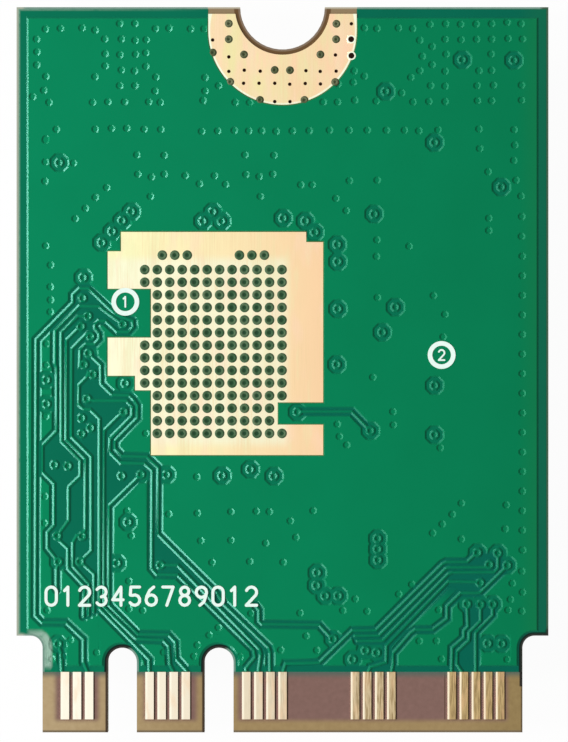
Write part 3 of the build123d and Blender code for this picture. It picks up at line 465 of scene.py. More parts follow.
def is_inside(places, *loops):
    """Which places lie inside at least one of the closed loops."""
    inside_any = np.zeros(len(places), bool)
    x, y = places[:, 0], places[:, 1]
    for loop in loops:
        inside = np.zeros(len(places), bool)
        for (x1, y1), (x2, y2) in zip(loop, loop[1:] + loop[:1]):
            if y1 != y2:
                inside ^= ((y1 > y) != (y2 > y)) & (x < (x2 - x1) * (y - y1) / (y2 - y1) + x1)
        inside_any |= inside
    return inside_any


def depth_inside(places, loop):
    """Distance to a loop's border, positive inside."""
    border = distance_to_route(places, [*loop, loop[0]])
    return np.where(is_inside(places, loop), border, -border)


def ramp(values, low, high):
    """0 up to low, 1 from high, straight between."""
    return np.clip((values - low) / (high - low), 0, 1)


def in_field(places, box):
    """1 well inside a box, 0 outside it."""
    return ramp(depth_inside(places, box_loop(box, 0)), 0, FIELD_FADE)


def triangulate(loops, outlines, holes):
    """Flat places and triangles that keep the lines of every loop, inside outlines, outside holes."""
    places, edges = [], []
    for loop in loops:
        first, count = len(places), len(loop)
        places += [Vector(point) for point in loop]
        edges += [(first + step, first + (step + 1) % count) for step in range(count)]
    flat, _, faces = delaunay_2d_cdt(places, edges, [], 0, SAME_PLACE)[:3]
    flat = np.array([tuple(p) for p in flat])
    faces = np.array([tuple(face) for face in faces])
    middles = flat[faces].mean(axis=1)
    faces = faces[is_inside(middles, *outlines) & ~is_inside(middles, *holes)]
    used, faces = np.unique(faces, return_inverse=True)
    return flat[used], faces.reshape(-1, 3)


def new_piece(name, places, faces):
    """Object with a mesh, its places in millimetres."""
    mesh = bpy.data.meshes.new(name)
    mesh.from_pydata((np.array(places) * MM).tolist(), [], faces)
    piece = bpy.data.objects.new(name, mesh)
    bpy.context.scene.collection.objects.link(piece)
    return piece


def solid_from_sheet(name, flat, faces, top_heights, base_height):
    """Closed mesh: a sheet with a height at each place, walls down to a flat base."""
    count = len(flat)
    top = np.column_stack([flat, top_heights])
    base = np.column_stack([flat, np.full(count, base_height)])
    edges = np.concatenate([faces[:, [0, 1]], faces[:, [1, 2]], faces[:, [2, 0]]])
    keys = edges[:, 0].astype(np.int64) * count + edges[:, 1]
    twins = edges[:, 1].astype(np.int64) * count + edges[:, 0]
    border = edges[~np.isin(keys, twins)]
    walls = [(b, a, a + count, b + count) for a, b in border.tolist()]
    polygons = faces.tolist() + (faces[:, ::-1] + count).tolist() + walls
    return new_piece(name, np.concatenate([top, base]), polygons)


def flat_solid(name, outlines, holes, top_height, base_height):
    """Closed mesh with a flat top, inside the outlines and outside the holes."""
    flat, faces = triangulate([*outlines, *holes], outlines, holes)
    return solid_from_sheet(name, flat, faces, np.full(len(flat), top_height), base_height)


def turned_forms(name, centres, profile, radius, base_height, rise):
    """Small round forms on the board, each a stack of rings closed at its middle and its foot."""
    places, faces = [], []
    for centre in centres:
        rings = []
        for share, level in profile:
            first = len(places)
            rings.append(list(range(first, first + DOT_SIDES)))
            height = base_height + level * rise
            places += [(x, y, height) for x, y in circle(centre, radius * share, DOT_SIDES)]
        for outer, inner in zip(rings[:-1], rings[1:]):
            for step in range(DOT_SIDES):
                after = (step + 1) % DOT_SIDES
                faces.append((outer[step], outer[after], inner[after], inner[step]))
        faces += [rings[-1], rings[0][::-1]]
    return new_piece(name, places, faces)


def plain_vias():
    """Every plain via: the placed ones and the column along the right edge."""
    rows = range(EDGE_COLUMN_COUNT)
    return [*PLAIN_VIAS] + [(EDGE_COLUMN_X, EDGE_COLUMN_TOP_Y - row * EDGE_COLUMN_PITCH) for row in rows]


def relief_of(places):
    """Height of the mask at each place, and its tone there."""
    flank = POUR_FLANK + (PALE_FLANK - POUR_FLANK) * in_field(places, PALE_FIELD)
    copper = np.clip(depth_inside(places, pour_loop(0)) / flank, 0, 1)
    pour_top_y = TOP_Y - POUR_INSET - POUR_FLANK
    from_window = distance_to(places, SCREW_PAD_CENTRE) - SCREW_PAD_RADIUS
    at_window = (np.abs(from_window) < POUR_WINDOW_REACH) & (places[:, 1] < pour_top_y)
    copper = np.where(at_window, 1, copper)
    side_tone = np.where(places[:, 0] < 0, BORDER_TONES["left"], BORDER_TONES["right"])
    tone = np.maximum(copper, np.where(places[:, 1] > pour_top_y, BORDER_TONES["top"], side_tone))
    outside = [ramp(-depth_inside(places, field), 0, POUR_FLANK) for field in BARE_FIELDS]
    crest = np.zeros(len(places))
    for route in TRACES:
        distance = distance_to_route(places, route)
        outside.append(ramp(distance, CHANNEL_FLOOR, CHANNEL_RIM))
        crest = np.maximum(crest, 1 - ramp(distance, TRACE_CREST, TRACE_FOOT))
    copper = np.min([copper, *outside], axis=0)
    tone = np.min([tone, *outside], axis=0)
    raised_tone = TRACE_TONE * crest
    dimple = np.zeros(len(places))
    for centre in RINGED_VIAS:
        distance = distance_to(places, centre)
        gap = 1 - ramp(distance, *PAD_VOID_RADII)
        pad = 1 - ramp(distance, *PAD_RADII)
        copper = np.minimum(copper, 1 - gap)
        tone = np.minimum(tone, 1 - (1 - PAD_VOID_TONE) * gap)
        crest = np.maximum(crest, pad)
        raised_tone = np.maximum(raised_tone, PAD_TONE * pad)
        dimple = np.maximum(dimple, PAD_DIMPLE_DEPTH * (1 - ramp(distance, *PAD_DIMPLE_RADII)))
    for centre in plain_vias():
        dimple = np.maximum(dimple, DIMPLE_DEPTH * (1 - ramp(distance_to(places, centre), *DIMPLE_RADII)))
    height = MASK_TOP - COPPER_STEP * (1 - np.maximum(copper, crest)) - dimple
    border = depth_inside(places, card_loop(MASK_INSET, CONTACT_ZONE_TOP_Y, SCREW_PAD_RADIUS))
    border = np.minimum(border, -depth_inside(places, GROUND_PAD_OUTLINE))
    height -= EDGE_ROLL_DROP * (1 - ramp(border, 0, EDGE_ROLL_WIDTH))
    return np.maximum(height, LAMINATE_TOP + LEAST_COVER), np.maximum(tone, raised_tone)


def edge_shares(places):
    """Share of each border's colour: beside gold, in the left shoulder where the mask is thin and pale with
    a painted highlight, along the left edge as a painted highlight, and on rims of painted shade.
    """
    from_screw_pad = distance_to(places, SCREW_PAD_CENTRE) - SCREW_PAD_RADIUS
    from_gold = np.minimum(-depth_inside(places, GROUND_PAD_OUTLINE), from_screw_pad)
    border = depth_inside(places, card_loop(MASK_INSET, BOTTOM_Y, SCREW_PAD_RADIUS))
    at_shoulder = in_field(places, PALE_FIELD) * (1 - ramp(border, *PALE_BAND))
    left_edge_highlight = (places[:, 0] < LEFT_HIGHLIGHT_X) * (1 - ramp(border, *LEFT_HIGHLIGHT_BAND))
    in_painted_shade_field = np.max([in_field(places, field) for field in PAINTED_SHADE_FIELDS], axis=0)
    return {
        "window": 1 - ramp(from_gold, WINDOW_MARGIN / 2, WINDOW_MARGIN),
        "thin_mask_and_sheen": np.maximum(at_shoulder, LEFT_HIGHLIGHT_SHARE * left_edge_highlight),
        "painted_shade": in_painted_shade_field * (1 - ramp(border, *PAINTED_SHADE_BAND)),
    }


def mask_relief():
    """Green mask of the bare back, with everything that the copper under it lifts or drops."""
    outline = card_loop(MASK_INSET, CONTACT_ZONE_TOP_Y, SCREW_PAD_RADIUS)
    pad = list(GROUND_PAD_OUTLINE)
    loops = [outline, pad]
    for step in (EDGE_ROLL_WIDTH, WINDOW_MARGIN):
        loops.append(card_loop(MASK_INSET + step, CONTACT_ZONE_TOP_Y + step, SCREW_PAD_RADIUS + step))
    for step in (*LEFT_HIGHLIGHT_BAND, *PAINTED_SHADE_BAND, *PALE_BAND):
        loops.append(card_loop(MASK_INSET + step, CONTACT_ZONE_TOP_Y, SCREW_PAD_RADIUS + step))
    loops += [pour_loop(0), pour_loop(POUR_FLANK)]
    for field in (PALE_FIELD, *PAINTED_SHADE_FIELDS):
        loops += [box_loop(field, 0), box_loop(field, FIELD_FADE)]
    loops.append(swollen(pad + pad[:1], WINDOW_MARGIN))
    reaches = (TRACE_CREST, TRACE_FOOT, CHANNEL_FLOOR, CHANNEL_RIM)
    loops += [swollen(route, reach) for route in TRACES for reach in reaches]
    radii = (*PAD_DIMPLE_RADII, *PAD_RADII, *PAD_VOID_RADII)
    loops += [rounded_octagon(centre, radius) for centre in RINGED_VIAS for radius in radii]
    for centre in plain_vias():
        loops += [circle(centre, radius, DIMPLE_SIDES) for radius in DIMPLE_RADII[::-1]]
    flat, faces = triangulate(loops, [outline], [pad])
    heights, tone = relief_of(flat)
    piece = solid_from_sheet("mask_relief", flat, faces, heights, LAMINATE_TOP)
    for name, values in {"tone": tone, **edge_shares(flat)}.items():
        layer = piece.data.attributes.new(name, "FLOAT", "POINT")
        layer.data.foreach_set("value", np.concatenate([values, values]))
    return piece


def dot_centres():
    """Centres of the mask dots in the ground pad."""
    right_x, top_y = DOT_TOP_RIGHT
    centres = []
    for row in range(DOT_ROWS):
        for column in range(DOT_COLUMNS):
            at_left_gap = column == DOT_COLUMNS - 1 and row not in DOT_LEFT_COLUMN_ROWS
            at_right_gap = column == 0 and row in DOT_SHORT_ROWS
            if not at_left_gap and not at_right_gap:
                centres.append((right_x - column * DOT_PITCH[0], top_y - row * DOT_PITCH[1]))
    for start in DOT_EXTRA_STARTS:
        steps = range(DOT_EXTRA_COUNT)
        centres += [(start + step * DOT_PITCH[0], top_y + DOT_EXTRA_RISE) for step in steps]
    return centres


def screw_pad():
    """Gold half ring with its open vias cut through."""
    top_y = TOP_Y - SCREW_PAD_TOP_DROP
    bore = NOTCH_RADIUS + SCREW_PAD_BORE_MARGIN
    turn = math.degrees(math.asin(SCREW_PAD_TOP_DROP / bore))
    rim = arc(SCREW_PAD_CENTRE, SCREW_PAD_RADIUS, 0, -180, SCREW_PAD_STEPS)
    outline = [(SCREW_PAD_RADIUS, top_y), *rim, (-SCREW_PAD_RADIUS, top_y)]
    outline += arc((0, TOP_Y), bore, 180 + turn, 360 - turn, WINDOW_STEPS)
    holes = [circle(centre, OPEN_VIA_RADIUS, OPEN_VIA_SIDES) for centre in SCREW_OPEN_VIAS]
    return flat_solid("screw_pad", [outline], holes, GOLD_TOP, LAMINATE_TOP)


def printed_rings():
    """The two white rings."""
    outer = [circle(centre, RING_RADIUS, RING_SIDES) for centre in RING_CENTRES]
    inner = [circle(centre, RING_RADIUS - RING_STROKE, RING_SIDES) for centre in RING_CENTRES]
    return flat_solid("printed_rings", outer, inner, INK_TOP, PRINT_FOOT)


def digit_strokes(digit):
    """Strokes of a digit in a box one unit high, drawn as a plotter draws them."""
    half, bowl, small_bowl = DIGIT_WIDTH / 2, 0.27, 0.23
    upper, lower = (half, 1 - half), (half, half)
    strokes = {
        "0": [arc(upper, half, 180, 0, 8) + arc(lower, half, 0, -180, 8) + [(0, 1 - half)]],
        "1": [[(0.1, 0.8), (half, 1), (half, 0)]],
        "2": [arc(upper, half, 160, -35, 8) + [(0, 0), (DIGIT_WIDTH, 0)]],
        "3": [arc((half, 1 - bowl), bowl, 150, -90, 8) + arc((half, bowl), bowl, 90, -150, 8)[1:]],
        "4": [[(0.45, 0), (0.45, 1), (0, 0.3), (DIGIT_WIDTH, 0.3)]],
        "5": [[(0.56, 1), (0.08, 1), (0.05, 0.56)] + arc(lower, half, 115, -150, 8)],
        "6": [arc(lower, half, 180, -180, 12) + [(0.04, 0.5), (0.2, 0.82), (0.42, 1)]],
        "7": [[(0, 1), (DIGIT_WIDTH, 1), (0.22, 0)]],
        "8": [arc((half, 1 - small_bowl), small_bowl, -90, 270, 12), arc((half, bowl), bowl, 90, 450, 12)],
        "9": [arc(upper, half, 0, 360, 12) + [(DIGIT_WIDTH - 0.04, 0.5), (0.42, 0.18), (0.2, 0)]],
    }
    return strokes[digit]


def placed_strokes(digits, start, height, pitch):
    """Strokes of a row of digits, from the lower left corner of the first."""
    routes = []
    for index, digit in enumerate(digits):
        left_x = start[0] + index * pitch
        for stroke in digit_strokes(digit):
            routes.append([(left_x + x * height, start[1] + y * height) for x, y in stroke])
    return routes


def printed_strokes(name, routes, half_width):
    """White print along routes, as one flat raised layer."""
    runs = [run for route in routes for run in zip(route[:-1], route[1:])]
    return flat_solid(name, [swollen(run, half_width) for run in runs], [], INK_TOP, PRINT_FOOT)


def ring_digit_routes():
    """Strokes of the plain digit in the middle of each ring."""
    routes = []
    for (x, y), digit in zip(RING_CENTRES, RING_DIGITS):
        start = (x - DIGIT_WIDTH * RING_DIGIT_HEIGHT / 2, y - RING_DIGIT_HEIGHT / 2)
        routes += placed_strokes(digit, start, RING_DIGIT_HEIGHT, 0)
    return routes


def linear(screen_colour):
    """Scene colour of a screen colour, which is written as six hexadecimal digits."""
    values = [channel / 255 for channel in bytes.fromhex(screen_colour)]
    return [v / 12.92 if v <= 0.04045 else ((v + 0.055) / 1.055) ** 2.4 for v in values] + [1.0]


class Nodes:
    """A node tree in the making, with short ways to add to it."""

    def __init__(self, tree):
        self.nodes, self.links = tree.nodes, tree.links

    def feed(self, socket, value):
        """Gives a socket its value: another socket, a number, a vector or a screen colour."""
        if isinstance(value, bpy.types.NodeSocket):
            self.links.new(value, socket)
        else:
            socket.default_value = linear(value) if isinstance(value, str) else value

    def add(self, kind, inputs, **settings):
        """Outputs of a new node, once its settings and its inputs are in place."""
        node = self.nodes.new("ShaderNode" + kind)
        for name, setting in settings.items():
            setattr(node, name, setting)
        for key, value in inputs.items():
            self.feed(node.inputs[key], value)
        return node.outputs

    def math(self, operation, first, *others):
        """Result of a sum over two or more values, or over a single one."""
        for other in others or (0.0,):
            first = self.add("Math", {0: first, 1: other}, operation=operation)[0]
        return first

    def between(self, value, low, high, at_low=0.0, at_high=1.0, curve="LINEAR"):
        """Number that runs from one to the other as value runs from low to high."""
        inputs = dict(enumerate((value, low, high, at_low, at_high)))
        return self.add("MapRange", inputs, interpolation_type=curve)["Result"]

    def ramp(self, value, low, high):
        """0 where value is at low, 1 where it is at high, eased at both."""
        return self.between(value, low, high, curve="SMOOTHSTEP")

    def cell(self, value, pitch, shift):
        """Place within a repeating cell, from 0 to 1."""
        return self.math("FRACT", self.math("DIVIDE", self.math("ADD", value, shift), pitch))

    def mix(self, share, first, second):
        """Colour between two."""
        return self.add("Mix", {0: share, 6: first, 7: second}, data_type="RGBA")[2]

    def white_rays(self):
        """1 for the rays that see a white background: from the camera, off gloss and through glass."""
        path = self.add("LightPath", {})
        kinds = ("Is Camera Ray", "Is Glossy Ray", "Is Transmission Ray")
        return self.math("MAXIMUM", *[path[kind] for kind in kinds])


class Look(Nodes):
    """A surface in the making: its shader, its colour so far, and places on it in millimetres."""

    def __init__(self, name, roughness, metallic=0.0, specular=0.5, tint=(1, 1, 1)):
        self.material = bpy.data.materials.new(name)
        self.material.use_nodes = True
        super().__init__(self.material.node_tree)
        self.shader = self.nodes["Principled BSDF"]
        self.shader.inputs["Roughness"].default_value = roughness
        self.shader.inputs["Metallic"].default_value = metallic
        self.shader.inputs["Specular IOR Level"].default_value = specular
        self.shader.inputs["Specular Tint"].default_value = (*tint, 1)
        metres = self.add("NewGeometry", {})["Position"]
        self.place = self.add("VectorMath", {0: metres, "Scale": 1 / MM}, operation="SCALE")[0]
        self.x, self.y, self.z = self.add("SeparateXYZ", {0: self.place})
        self.base = None

    def attribute(self, name):
        """Value that the mesh carries at each of its points."""
        return self.add("Attribute", {}, attribute_name=name)["Fac"]

    def noise(self, size, stretch=(1, 1, 1), detail=3.0):
        """Cloudy value from 0 to 1 with features of about this size."""
        scale = [1 / (size * share) for share in stretch]
        mapped = self.add("Mapping", {"Vector": self.place, "Scale": scale})[0]
        return self.add("TexNoise", {"Vector": mapped, "Scale": 1.0, "Detail": detail})["Fac"]

    def in_box(self, x_span, y_span, fade):
        """1 inside an upright box on the board, 0 outside it, with a soft border."""
        sides = []
        for value, (low, high) in ((self.x, x_span), (self.y, y_span)):
            sides += [self.ramp(value, low - fade, low + fade), self.ramp(value, high + fade, high - fade)]
        return self.math("MULTIPLY", *sides)

    def from_middle_line(self, y):
        """Distance on the board from the point of its middle line that has this y."""
        squares = [self.math("POWER", side, 2) for side in (self.x, self.math("SUBTRACT", self.y, y))]
        return self.math("SQRT", self.math("ADD", *squares))

    def cover(self, share, colour, strength=1.0):
        """Lays a colour over the surface's own, where the share says and at most this strongly."""
        if strength < 1:
            share = self.math("MULTIPLY", share, strength)
        self.base = self.mix(share, self.base, colour)

    def roughness(self, value):
        """Gives the shader a roughness that varies over the surface."""
        self.feed(self.shader.inputs["Roughness"], value)

    def done(self, grain, depth_mm, strength=1.0):
        """The material, with its colour in place and its surface made uneven by a grain."""
        self.feed(self.shader.inputs["Base Color"], self.base)
        bump = {"Height": grain, "Distance": depth_mm * MM, "Strength": strength}
        self.feed(self.shader.inputs["Normal"], self.add("Bump", bump)[0])
        return self.material


def mask_look():
    """Green mask: bright over copper, blue-green and darker over bare laminate."""
    look = Look("green_mask", roughness=0.3, specular=0.18, tint=(0.34, 1.0, 0.88))
    clouds = look.noise(2.6, detail=4.0)
    # Darker towards the right of the card: a painted falloff of the light from the left
    across = look.between(look.x, -10.5, 10.5)
    left_copper = look.mix(clouds, "007f52", "018759")
    right_copper = look.mix(clouds, "006f45", "01764b")
    left_bare = look.mix(clouds, "00654a", "016d50")
    right_bare = look.mix(clouds, "005645", "015f4c")
    look.base = look.mix(across, left_bare, right_bare)
    look.cover(look.attribute("tone"), look.mix(across, left_copper, right_copper))
    look.cover(look.ramp(look.x, 9.6, 10.6), "286828", 0.15)
    look.cover(look.attribute("window"), "58602a", 0.8)
    # Pale grey-green broken up by noise: thin mask with a painted highlight in the left shoulder, and a
    # painted highlight along the left edge
    worn = look.ramp(look.noise(0.3, detail=2.0), 0.05, 0.5)
    look.cover(look.math("MULTIPLY", look.attribute("thin_mask_and_sheen"), worn), "8cac9a")
    # Near-black painted shade on the rims of the right shoulder and the key slots
    look.cover(look.attribute("painted_shade"), "0c100c")
    look.roughness(look.between(look.x, -2.5, 4.0, 0.23, 0.4))
    return look.done(look.noise(0.12, detail=2.0), 0.003, 0.12)


def brushed(look):
    """Ends a gold surface with fine streaks along the board, and with cool and warm patches."""
    strokes = look.noise(0.045, stretch=(1, 40, 1))
    cool = look.noise(0.5, stretch=(1, 5, 1), detail=4.0)
    warm = look.noise(0.7, stretch=(1, 3, 1), detail=4.0)
    patches = look.noise(0.9, stretch=(1, 3, 1))
    look.cover(look.ramp(cool, 0.5, 0.64), "e8e4b2", 0.3)
    look.cover(look.ramp(warm, 0.5, 0.66), "fcd6c0", 0.3)
    streaks = look.math("MULTIPLY", look.ramp(strokes, 0.35, 0.7), look.ramp(patches, 0.3, 0.7))
    look.cover(streaks, "e8ca9a", 0.5)
    look.roughness(look.between(strokes, 0.2, 0.8, 0.28, 0.4))
    return look.done(strokes, 0.002, 0.2)


def pad_gold_look():
    """Gold of the heat pad: cream at the left, paler round the mask dots, peach along its right side."""
    look = Look("pad_gold", roughness=0.34, metallic=1.0)
    across = look.between(look.x, -7.2, 1.6)
    look.base = look.mix(across, "fbfcc5", "f5cfa3")
    round_dots = look.mix(across, "fafbd8", "eee7c4")
    look.cover(look.in_box((-7.4, 0.2), (-3.1, 4.6), 0.25), round_dots)
    return brushed(look)


def screw_gold_look():
    """Gold of the half ring, a little deeper than the heat pad's."""
    look = Look("screw_gold", roughness=0.34, metallic=1.0)
    tint = look.ramp(look.noise(0.4, stretch=(1, 4, 1)), 0.35, 0.65)
    look.base = look.mix(tint, "eee4a8", "f8dcb4")
    right = look.mix(tint, "eed8aa", "f7cea8")
    look.cover(look.between(look.x, -3.1, 3.1), right)
    from_centre = look.from_middle_line(SCREW_PAD_CENTRE[1])
    rim = look.ramp(from_centre, SCREW_PAD_RADIUS - 0.1, SCREW_PAD_RADIUS - 0.05)
    look.cover(rim, "f4fce2")
    return brushed(look)


def contact_phase(look):
    """Place across the row of contacts: 0 midway between two of them, 0.5 on the middle of one."""
    return look.cell(look.x, CONTACT_PITCH, CONTACT_PITCH / 2)


def contact_look():
    """Gold of the edge contacts: pale at the left of the card and deeper and browner towards its right, a
    painted falloff of the light; each contact has a painted highlight on its left part and painted shade on
    its right part, where it is worn towards the card's right.
    """
    look = Look("contact_gold", roughness=0.3, metallic=1.0)
    across = look.between(look.x, -8.0, 7.0)
    # Painted highlight on the left part of each contact, painted shade on its right part
    to_right = look.ramp(contact_phase(look), 0.24, 0.38)
    look.base = look.mix(across, "fffbe8", "fceed0")
    look.cover(to_right, look.mix(across, "fef6e2", "c0a674"))
    strokes = look.noise(0.04, stretch=(1, 14, 1))
    worn = look.math("MULTIPLY", look.ramp(strokes, 0.4, 0.65), look.ramp(look.x, -3.0, 5.0), to_right)
    look.cover(worn, "947c54", 0.9)
    blush = look.ramp(look.noise(0.3, stretch=(1, 4, 1), detail=2.0), 0.5, 0.7)
    look.cover(blush, "f4c496", 0.3)
    return look.done(strokes, 0.002, 0.25)


def dot_look(name, painted_shade, rim_dark, rim_light):
    """Thin mask over the vias, olive where gold shows through it, darker where it lies low, at its foot and
    in the dimple, as painted shade.
    """
    look = Look(name, roughness=0.4, specular=0.2)
    height = look.ramp(look.z, GOLD_TOP + 0.1 * DOT_RISE, GOLD_TOP + 0.85 * DOT_RISE)
    patches = look.ramp(look.noise(0.4, detail=1.0), 0.3, 0.7)
    look.base = look.mix(height, painted_shade, look.mix(patches, rim_dark, rim_light))
    look.feed(look.shader.inputs["Base Color"], look.base)
    return look.material


def laminate_look():
    """Glass laminate: its green rim beside the mask, the tongue, the screw notch and the cut walls."""
    look = Look("laminate", roughness=0.5, specular=0.2)
    weave = look.noise(0.2, detail=2.0)

    # Rim: a painted highlight along the left edge, painted shade along the right one and near-black painted
    # shade in the corners of the tongue
    look.base = look.mix(weave, "68887a", "7e9c8e")
    look.cover(look.ramp(look.x, -10.6, -10.8), "a4ac9a")
    look.cover(look.ramp(look.x, 10.6, 10.8), "3e5844")
    look.cover(look.in_box((9.2, 11.2), (-12.6, -10.7), 0.1), "222620")
    for key_x, _ in KEY_CENTRES:
        look.cover(look.in_box((key_x - 0.8, key_x + 0.3), (-12.6, -11.2), 0.1), "24221c")
    rim = look.base

    # Tongue: beige, purple-brown over inner copper, a painted shadow beside each contact, darker along its
    # bottom edge, and painted shade along the key slots' walls, its right edge and the shoulder's foot
    look.base = look.mix(weave, "a8906a", "baa47e")
    look.cover(look.between(look.x, -9.6, -3.0), look.mix(weave, "927a52", "a28a60"))
    look.cover(look.ramp(look.x, 7.0, 9.6), look.mix(weave, "846e46", "988256"))
    copper = look.math("MAXIMUM", *[look.in_box(span, TONGUE_COPPER_Y, 0.15) for span in TONGUE_COPPER])
    look.cover(copper, look.mix(weave, "745850", "84655d"))
    phase = contact_phase(look)
    in_rows = look.math("MAXIMUM", *[look.in_box(span, TONGUE_CONTACT_Y, 0.02) for span in CONTACT_ROWS])
    # Painted shadow on the laminate just to the right of each contact
    contact_shadow = look.math("MULTIPLY", look.ramp(phase, 0.82, 0.86), look.ramp(phase, 1.0, 0.92), in_rows)
    look.cover(contact_shadow, "422816")
    look.cover(look.ramp(look.y, CONTACT_ZONE_TOP_Y - 0.32, CONTACT_ZONE_TOP_Y), "4a5e56", 0.85)
    look.cover(look.ramp(look.y, BOTTOM_Y + 0.12, BOTTOM_Y + 0.05), "70624c")
    # Painted shade along the key slots' walls, the tongue's right edge and the shoulder's foot
    for key_x, _ in KEY_CENTRES:
        edge_x = key_x - KEY_RADIUS
        look.cover(look.in_box((edge_x - 0.1, edge_x + 0.1), (-15.1, -12.4), 0.03), "382a1c")
    look.cover(look.ramp(look.x, HALF_TONGUE - 0.09, HALF_TONGUE - 0.03), "544632")
    shoulder_foot = look.in_box((HALF_TONGUE - 0.12, HALF_TONGUE + 0.1), (-13.1, -12.3), 0.03)
    look.cover(shoulder_foot, "14120c")
    look.cover(look.ramp(look.y, CONTACT_ZONE_TOP_Y - 0.03, CONTACT_ZONE_TOP_Y + 0.05), rim)
    body = look.base

    # Notch: brown with a dark and a pale line round the half hole, and a pale top edge
    from_notch = look.math("SUBTRACT", look.from_middle_line(TOP_Y), NOTCH_RADIUS)
    look.base = look.mix(weave, "786452", "887662")
    look.cover(look.ramp(from_notch, 0.06, 0.1), "62482a")
    look.cover(look.ramp(from_notch, 0.23, 0.28), "8c785a")
    look.cover(look.ramp(look.y, TOP_Y - 0.1, TOP_Y - 0.03), "b8b09c")
    beside_notch = look.math("LESS_THAN", look.math("ABSOLUTE", look.x), SCREW_PAD_RADIUS + 0.02)
    near_notch = look.math("MULTIPLY", beside_notch, look.math("GREATER_THAN", look.y, 10.0))
    look.base = look.mix(near_notch, body, look.base)

    # Cut walls: the tan of glass fibre, seen from its end, but not in the notch
    wall = look.mix(look.noise(0.1, stretch=(12, 12, 1), detail=2.0), "606440", "888860")
    below_top = look.ramp(look.z, LAMINATE_TOP - 0.09, LAMINATE_TOP - 0.14)
    above_base = look.ramp(look.z, LAMINATE_BASE + 0.02, LAMINATE_BASE + 0.06)
    look.cover(look.math("MULTIPLY", below_top, above_base, look.ramp(from_notch, 0.02, 0.08)), wall)
    return look.done(weave, 0.008, 0.3)


def ink_look():
    """White print, slightly green where it is thin."""
    look = Look("white_ink", roughness=0.55, specular=0.3)
    look.base = look.mix(look.noise(0.15, detail=2.0), "d6f4e6", "f6fcf8")
    return look.done(look.noise(0.05), 0.003, 0.4)


def plain_look(name, painted_shade, light, roughness, metallic, grain_size, specular=0.5):
    """A surface whose colour and grain wander between two close tones."""
    look = Look(name, roughness, metallic, specular)
    grain = look.noise(grain_size, detail=4.0)
    look.base = look.mix(grain, painted_shade, light)
    return look.done(grain, 0.003, 0.5)


def front_mask_look():
    """Green mask of the component side, with rows of vias as dark dimples and paler runs of copper."""
    look = Look("front_mask", roughness=0.32, specular=0.2)
    clouds = look.noise(2.6, detail=4.0)
    runs = look.ramp(look.noise(0.5, stretch=(1, 9, 1), detail=0.0), 0.46, 0.5)
    look.base = look.mix(runs, "006246", look.mix(clouds, "00794c", "038556"))
    squares = []
    for value in (look.x, look.y):
        from_middle = look.math("SUBTRACT", look.cell(value, FRONT_VIA_PITCH, FRONT_VIA_SHIFT), 0.5)
        squares.append(look.math("POWER", from_middle, 2))
    rim = (FRONT_VIA_RADIUS / FRONT_VIA_PITCH) ** 2
    via = look.ramp(look.math("ADD", *squares), rim, rim * 0.4)
    look.cover(via, "00422e")
    return look.done(look.math("SUBTRACT", look.math("MULTIPLY", runs, 0.4), via), 0.03, 0.6)


def can_look():
    """Tinned steel of the shield can: fine rolling lines, cloudy tin and a few darker finger marks."""
    look = Look("tinned_steel", roughness=0.36, metallic=1.0)
    lines = look.noise(0.22, stretch=(12, 1, 1), detail=4.0)
    clouds = look.noise(3.4, detail=5.0)
    look.base = look.mix(lines, "9e9e9b", "c6c6c2")
    look.cover(look.ramp(clouds, 0.42, 0.7), "acaaa2")
    look.cover(look.ramp(look.noise(1.6, detail=6.0), 0.62, 0.74), "86837c", 0.3)
    look.roughness(look.between(clouds, 0.3, 0.7, 0.3, 0.46))
    return look.done(lines, 0.004, 0.5)


def dress(piece, material, slot_name, *nodes):
    """Gives a new piece its material and body, and hides the nodes that it stands for; the slot name is not
    used.
    """
    piece.data.materials.clear()
    piece.data.materials.append(material)
    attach(piece, "root")
    if nodes:
        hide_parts(*nodes)


def paint_node(node, material, edge_mm=0.0):
    """Gives a carried-over node its material and, where wanted, soft edges."""
    piece = frame["nodes"][node]
    piece.data.materials.clear()
    piece.data.materials.append(material)
    if edge_mm:
        bevel = piece.modifiers.new("soft_edges", "BEVEL")
        bevel.width = edge_mm * MM
        bevel.segments = 2
        bevel.limit_method = "ANGLE"
        bevel.angle_limit = math.radians(40)


# Bare back
green = mask_look()
ink = ink_look()
dot_green = dot_look("dot_mask", "143c20", "305434", "546e4e")
screw_dot_green = dot_look("screw_dot_mask", "2c361c", "485030", "6a7050")
pad_gold = pad_gold_look()
screw_gold = screw_gold_look()
contact_gold = contact_look()
laminate = laminate_look()
land_gold = plain_look("land_gold", "f0f4d6", "fafce8", 0.34, 1.0, 0.1)
barrel = plain_look("via_barrel", "140804", "2c140a", 0.7, 0.0, 0.05, specular=0.05)

dress(mask_relief(), green, "green_mask", "back_solder_mask")
dress(screw_pad(), screw_gold, "gold_plating", "back_screw_pad")
dots = turned_forms("heat_via_dots", dot_centres(), DOT_PROFILE, DOT_RADIUS, GOLD_TOP, DOT_RISE)
dress(dots, dot_green, "green_mask", "back_via_dots")

